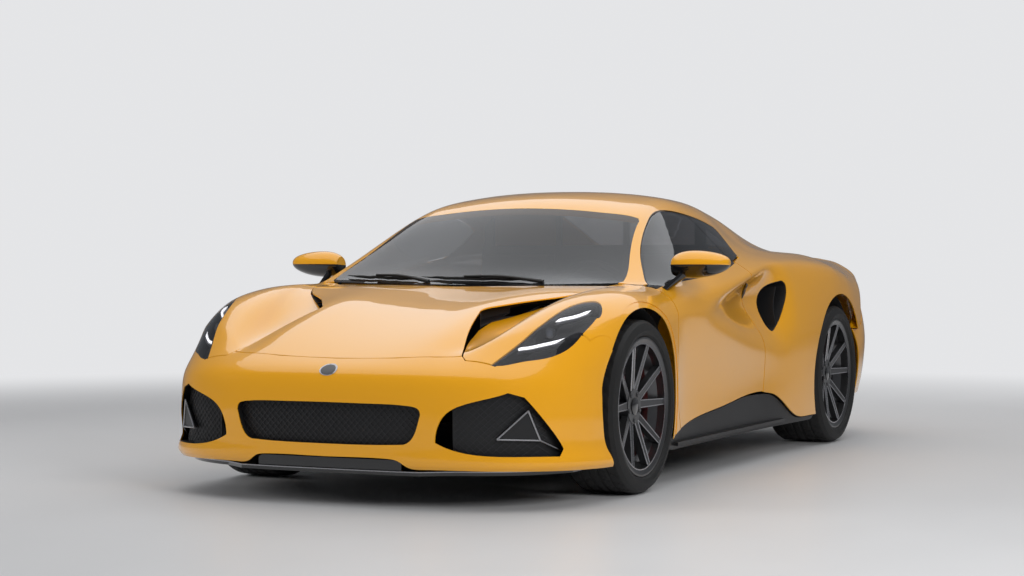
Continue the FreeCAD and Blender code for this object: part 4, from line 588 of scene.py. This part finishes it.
def oval(tree, height, half_width, half_height, lift):
    """Oval plate on the nose, standing slightly further out in its middle."""
    steps = 48
    sunk = Vector((0, 0.001, 0))
    raised = Vector((0, lift, 0))
    shape = Shape()
    outline = []
    for step in range(steps):
        angle = 2 * math.pi * step / steps
        x, z = half_width * math.cos(angle), half_height * math.sin(angle)
        outline.append(hit(tree, (x, AHEAD, height + z), BACKWARD))
    centre = hit(tree, (0, AHEAD, height), BACKWARD, lift)
    shape.points = [place + sunk for place in outline] + [place - raised for place in outline]
    shape.points.append(centre - sunk)
    for step in range(steps):
        ahead = (step + 1) % steps
        shape.faces += [(step, ahead, ahead + steps, step + steps), (step + steps, ahead + steps, 2 * steps)]
    shape.faces.append(list(range(steps))[::-1])
    return shape


def nose_badge():
    """Plain oval badge on the nose."""
    height = 0.506
    half_width, half_height = 0.036, 0.021
    inner_share = 0.84
    holder = next(name for name in ("bonnet", "front_bumper")
                  if hit(surface_tree(name), (0, AHEAD, height), BACKWARD))
    tree = surface_tree(holder)
    body = "bonnet_lid" if holder == "bonnet" else "body"
    rim = oval(tree, height, half_width, half_height, 0.0022)
    plate = oval(tree, height, half_width * inner_share, half_height * inner_share, 0.0034)
    rim.piece("badge_rim", BRIGHT_EDGE, body)
    plate.piece("badge_plate", GRAPHITE, body)


def splitter_highlight_line():
    """Thin bright strip along the splitter: a painted highlight of its edge."""
    half_length = 0.86
    steps = 60
    height_share = 0.25
    radius = 0.0028
    tree = surface_tree("splitter")
    low, high = box_of(corners_of("splitter"))
    level = low.z + (high.z - low.z) * height_share
    path = []
    for step in range(steps + 1):
        x = -half_length + 2 * half_length * step / steps
        place = hit(tree, (x, AHEAD, level), BACKWARD, -0.0002)
        if place:
            path.append(place)
    # Bright metal strip: a painted highlight where the splitter's edge catches the light
    edge = Shape()
    edge.rod(path, [radius] * len(path), 6)
    edge.piece("splitter_highlight_strip", BRIGHT_EDGE, "body")


VANE = ((0.741, -2.027, 0.365), (0.650, -2.102, 0.263), (0.773, -1.992, 0.256))
VANE_TAIL = (0.823, -1.900, 0.210)


def intake_vanes():
    """Three-sided vane frame at the outer end of each side intake."""
    rim_radius = 0.0035
    tail_radius = 0.0020
    recess = 0.012
    panel_front, panel_back = 0.002, 0.014
    rims, panels = Shape(), Shape()
    for side in SIGNS:
        inward = Vector((-0.25 * side, 0.95, 0.0)).normalized()
        ends = [Vector((x * side, y, z)) + inward * recess for x, y, z in VANE]
        for index in range(3):
            rims.bar(ends[index], ends[(index + 1) % 3], rim_radius, 8)
        outer = Vector((VANE_TAIL[0] * side, VANE_TAIL[1], VANE_TAIL[2])) + inward * 0.020
        rims.rod([ends[2], outer], [rim_radius, tail_radius], 8)
        start = len(panels.points)
        panels.points += [end + inward * panel_front for end in ends]
        panels.points += [end + inward * panel_back for end in ends]
        panels.faces += [(start, start + 1, start + 2), (start + 5, start + 4, start + 3)]
        for index in range(3):
            beside = (index + 1) % 3
            panels.faces.append((start + index, start + beside, start + beside + 3, start + index + 3))
    rims.piece("vane_rims", BRIGHT_EDGE, "body")
    panels.piece("vane_panels", SATIN_BLACK, "body")


mesh_screens()
intake_vanes()
nose_badge()
splitter_highlight_line()


# Glass, wipers and mirrors

def screen_base(tree, x):
    """How far back the windscreen starts at a distance from the middle line."""
    first, pitch, steps = -1.30, 0.01, 90
    for step in range(steps):
        y = first + pitch * step
        if hit(tree, (x, y, ABOVE), DOWNWARD):
            return y
    return -1.0


def wipers():
    blade_steps = 12
    blade_radius = 0.0065
    arm_radius = 0.0085
    arm_taper = 0.004
    grip_step = 7
    tree = surface_tree("windscreen")
    arms, blades = Shape(), Shape()
    for pivot, tip in ((0.36, -0.22), (-0.16, -0.62)):
        path = []
        for step in range(blade_steps + 1):
            x = pivot + (tip - pivot) * (0.10 + 0.90 * step / blade_steps)
            y = screen_base(tree, x) + 0.030 + 0.02 * step / blade_steps
            path.append(hit(tree, (x, y, ABOVE), DOWNWARD, 0.009))
        blades.rod(path, tapered(path, blade_radius), 6, 0.7)
        foot = hit(tree, (pivot, screen_base(tree, pivot) + 0.012, ABOVE), DOWNWARD, 0.006)
        grip = path[grip_step] + Vector((0, 0, 0.009))
        middle = (foot + grip) / 2 + Vector((0, -0.012, 0.010))
        arm = smooth_path([foot, middle, grip])
        arms.rod(arm, [arm_radius - arm_taper * index / len(arm) for index in range(len(arm))], 8, 1.3)
        arms.knob(foot - Vector((0, 0, 0.008)), (0, 0, 1), 0.017, 0.022)
    arms.piece("wiper_arms", SATIN_BLACK, "body")
    blades.piece("wiper_blades", RUBBER, "body")


def mirror_glass(tree, low, high):
    """Oval mirror pane on the back of its housing, or None where the housing has no room."""
    steps = 32
    gap = 0.0015
    thickness = Vector((0, -0.003, 0))
    middle = (low + high) / 2
    ring = []
    for step in range(steps):
        angle = 2 * math.pi * step / steps
        x = middle.x + math.cos(angle) * (high.x - low.x) * 0.36
        z = middle.z + math.sin(angle) * (high.z - low.z) * 0.32
        ring.append(hit(tree, (x, BEHIND_MIRROR, z), FORWARD, gap))
    centre = hit(tree, (middle.x, BEHIND_MIRROR, middle.z), FORWARD, gap)
    if not centre or not all(ring):
        return None
    pane = Shape()
    back = steps + 1
    pane.points = ring + [centre] + [place + thickness for place in ring + [centre]]
    for step in range(steps):
        ahead = (step + 1) % steps
        pane.faces += [(step, ahead, steps), (ahead + back, step + back, steps + back)]
        pane.faces.append((step, step + back, ahead + back, ahead))
    return pane


def mirrors():
    """Black lower half and mirror pane of both door mirrors."""
    housing_from = 0.93
    split_share = 0.46
    for side_name in ("left", "right"):
        name = "mirror_" + side_name
        low, high = box_of([point for point in corners_of(name) if abs(point.x) > housing_from])
        middle = (low + high) / 2
        split = Vector((middle.x, middle.y, low.z + (high.z - low.z) * split_share))
        body = "door_" + side_name + "_body"
        upward = Vector((0, 0.05, 1)).normalized()
        shell_of("mirror_base_" + side_name, name, GLOSS_BLACK, body, (split, upward))
        pane = mirror_glass(surface_tree(name), low, high)
        if pane:
            pane.piece("mirror_glass_" + side_name, MIRROR, body)


HANDLE = ((0.818, 0.180, 0.742), (0.832, 0.146, 0.770), (0.846, 0.114, 0.798))


def door_handles():
    """Small handle in the scoop at the rear edge of each door."""
    lift = 0.004
    radius = 0.0085
    for side_name, side in SIDES:
        tree = surface_tree("door_" + side_name)
        path = []
        for x, y, z in HANDLE:
            near, normal = tree.find_nearest(Vector((x * side, y, z)))[:2]
            if normal.x * side < 0:
                normal = -normal
            path.append(near + normal * lift)
        path = smooth_path(path)
        handle = Shape()
        handle.rod(path, tapered(path, radius, 0.5), 10)
        handle.piece("door_handle_" + side_name, GLOSS_BLACK, "door_" + side_name + "_body")


wipers()
mirrors()
door_handles()


# Seats

def evaluated_mesh(piece):
    graph = bpy.context.evaluated_depsgraph_get()
    return bpy.data.meshes.new_from_object(piece.evaluated_get(graph))


def swell(piece):
    """Swells a piece by cloth under pressure, each point no further than a limit."""
    voxel = 0.010
    most = 0.010
    pressure = 4.0
    frames = 20
    remesh = piece.modifiers.new("even_faces", "REMESH")
    remesh.mode = "VOXEL"
    remesh.voxel_size = voxel
    even = evaluated_mesh(piece)
    piece.modifiers.clear()
    piece.data = even
    start = [vertex.co.copy() for vertex in even.vertices]
    cloth = piece.modifiers.new("swell", "CLOTH")
    cloth.settings.use_pressure = True
    cloth.settings.uniform_pressure_force = pressure
    cloth.settings.effector_weights.gravity = 0.0
    cloth.point_cache.frame_start = 1
    cloth.point_cache.frame_end = frames
    for frame_number in range(1, frames + 1):
        scene.frame_set(frame_number)
    swelled = evaluated_mesh(piece)
    piece.modifiers.clear()
    piece.data = swelled
    scene.frame_set(1)
    for vertex, first in zip(swelled.vertices, start):
        move = vertex.co - first
        if move.length > most:
            vertex.co = first + move.normalized() * most
    swelled.polygons.foreach_set("use_smooth", [True] * len(swelled.polygons))


def seat_seams(piece):
    """Two stitched seams over the cushion and back of each seat."""
    offsets = (-0.105, 0.105)
    radius = 0.0022
    steps = 40
    start_share, length_share = 0.06, 0.74
    points = [piece.matrix_world @ vertex.co for vertex in piece.data.vertices]
    tree = BVHTree.FromPolygons(points, [list(face.vertices) for face in piece.data.polygons])
    seams = Shape()
    for side in SIGNS:
        low, high = box_of([point for point in points if point.x * side > 0])
        centre = (low.x + high.x) / 2
        for offset in offsets:
            path = []
            for step in range(steps):
                y = low.y + (high.y - low.y) * (start_share + length_share * step / (steps - 1))
                place = hit(tree, (centre + offset, y, ABOVE), DOWNWARD, 0.001)
                if place:
                    path.append(place)
            seams.rod(path, [radius] * len(path), 6)
    seams.piece("seat_seams", SEAM, "body")


def soft_seats():
    """Upholstered seats, swelled from their plain solids."""
    source = nodes["seats"]
    piece = bpy.data.objects.new("seat_cushions", source.data.copy())
    piece.matrix_world = source.matrix_world
    scene.collection.objects.link(piece)
    swell(piece)
    piece.data.materials.clear()
    piece.data.materials.append(LEATHER)
    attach(piece, "body")
    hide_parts("seats")
    seat_seams(piece)


soft_seats()


# Camera, floor and light

def floor_look():
    """Pale floor that goes over into the pale backdrop with its distance."""
    mat = finish("pale_floor", (0.66, 0.66, 0.665), 0.42, scale=3.0, spread=0.05, tint=0.01,
                 specular=0.35)
    tree = mat.node_tree
    near, far = 3.6, 8.0
    place = tree.nodes.new("ShaderNodeNewGeometry")
    length = tree.nodes.new("ShaderNodeVectorMath")
    length.operation = "LENGTH"
    blend = tree.nodes.new("ShaderNodeMapRange")
    blend.interpolation_type = "SMOOTHSTEP"
    blend.inputs["From Min"].default_value = near
    blend.inputs["From Max"].default_value = far
    rays = tree.nodes.new("ShaderNodeLightPath")
    share = tree.nodes.new("ShaderNodeMath")
    share.operation = "MULTIPLY"
    light = tree.nodes.new("ShaderNodeEmission")
    light.inputs["Color"].default_value = BACKDROP
    mix = tree.nodes.new("ShaderNodeMixShader")
    tree.links.new(place.outputs["Position"], length.inputs[0])
    tree.links.new(length.outputs["Value"], blend.inputs["Value"])
    tree.links.new(blend.outputs["Result"], share.inputs[0])
    tree.links.new(rays.outputs["Is Camera Ray"], share.inputs[1])
    tree.links.new(share.outputs["Value"], mix.inputs["Fac"])
    tree.links.new(tree.nodes["Principled BSDF"].outputs["BSDF"], mix.inputs[1])
    tree.links.new(light.outputs["Emission"], mix.inputs[2])
    tree.links.new(mix.outputs["Shader"], tree.nodes["Material Output"].inputs["Surface"])
    return mat


def stage_and_light():
    camera = bpy.data.objects.new("camera", bpy.data.cameras.new("camera"))
    scene.collection.objects.link(camera)
    camera.location = (3.8564, -8.7808, 0.9077)
    camera.rotation_euler = (math.radians(90 - 0.761), 0, math.radians(25.202))
    camera.data.lens = 72.67
    camera.data.sensor_width = 36.0
    camera.data.clip_end = 200.0
    scene.camera = camera
    scene.view_settings.view_transform = "Standard"

    pale = floor_look()
    half = 40.0
    floor = bpy.data.meshes.new("studio_floor")
    corners = [(-half, -half, 0), (half, -half, 0), (half, half, 0), (-half, half, 0)]
    floor.from_pydata(corners, [], [(0, 1, 2, 3)])
    ground = bpy.data.objects.new("studio_floor", floor)
    ground.data.materials.append(pale)
    scene.collection.objects.link(ground)

    world = bpy.data.worlds.new("studio")
    scene.world = world
    world.use_nodes = True
    tree = world.node_tree
    tree.nodes.clear()
    rays = tree.nodes.new("ShaderNodeLightPath")
    seen = tree.nodes.new("ShaderNodeBackground")
    seen.inputs["Color"].default_value = BACKDROP
    lit = tree.nodes.new("ShaderNodeBackground")
    lit.inputs["Color"].default_value = (0.62, 0.64, 0.68, 1)
    lit.inputs["Strength"].default_value = 0.26
    mix = tree.nodes.new("ShaderNodeMixShader")
    out = tree.nodes.new("ShaderNodeOutputWorld")
    tree.links.new(rays.outputs["Is Camera Ray"], mix.inputs["Fac"])
    tree.links.new(lit.outputs["Background"], mix.inputs[1])
    tree.links.new(seen.outputs["Background"], mix.inputs[2])
    tree.links.new(mix.outputs["Shader"], out.inputs["Surface"])

    lamps = (
        ("overhead", (0.0, 0.5, 4.8), (0, 0, 0), 9.0, 10.0, 290.0),
        ("front_left", (5.2, -4.6, 3.0), (0, 0, 0.6), 2.6, 2.0, 190.0),
        ("front_right", (-5.6, -5.0, 2.6), (0, -1, 0.5), 2.4, 1.8, 130.0),
        ("rear", (0.5, 6.8, 3.4), (0, 1, 0.8), 5.0, 1.6, 90.0),
    )
    for name, where, aim, wide, tall, power in lamps:
        lamp = bpy.data.lights.new(name, "AREA")
        lamp.shape = "RECTANGLE"
        lamp.size = wide
        lamp.size_y = tall
        lamp.energy = power
        light = bpy.data.objects.new(name, lamp)
        light.location = where
        light.visible_glossy = name == "overhead"
        light.rotation_euler = (Vector(aim) - Vector(where)).to_track_quat("-Z", "Y").to_euler()
        scene.collection.objects.link(light)


stage_and_light()
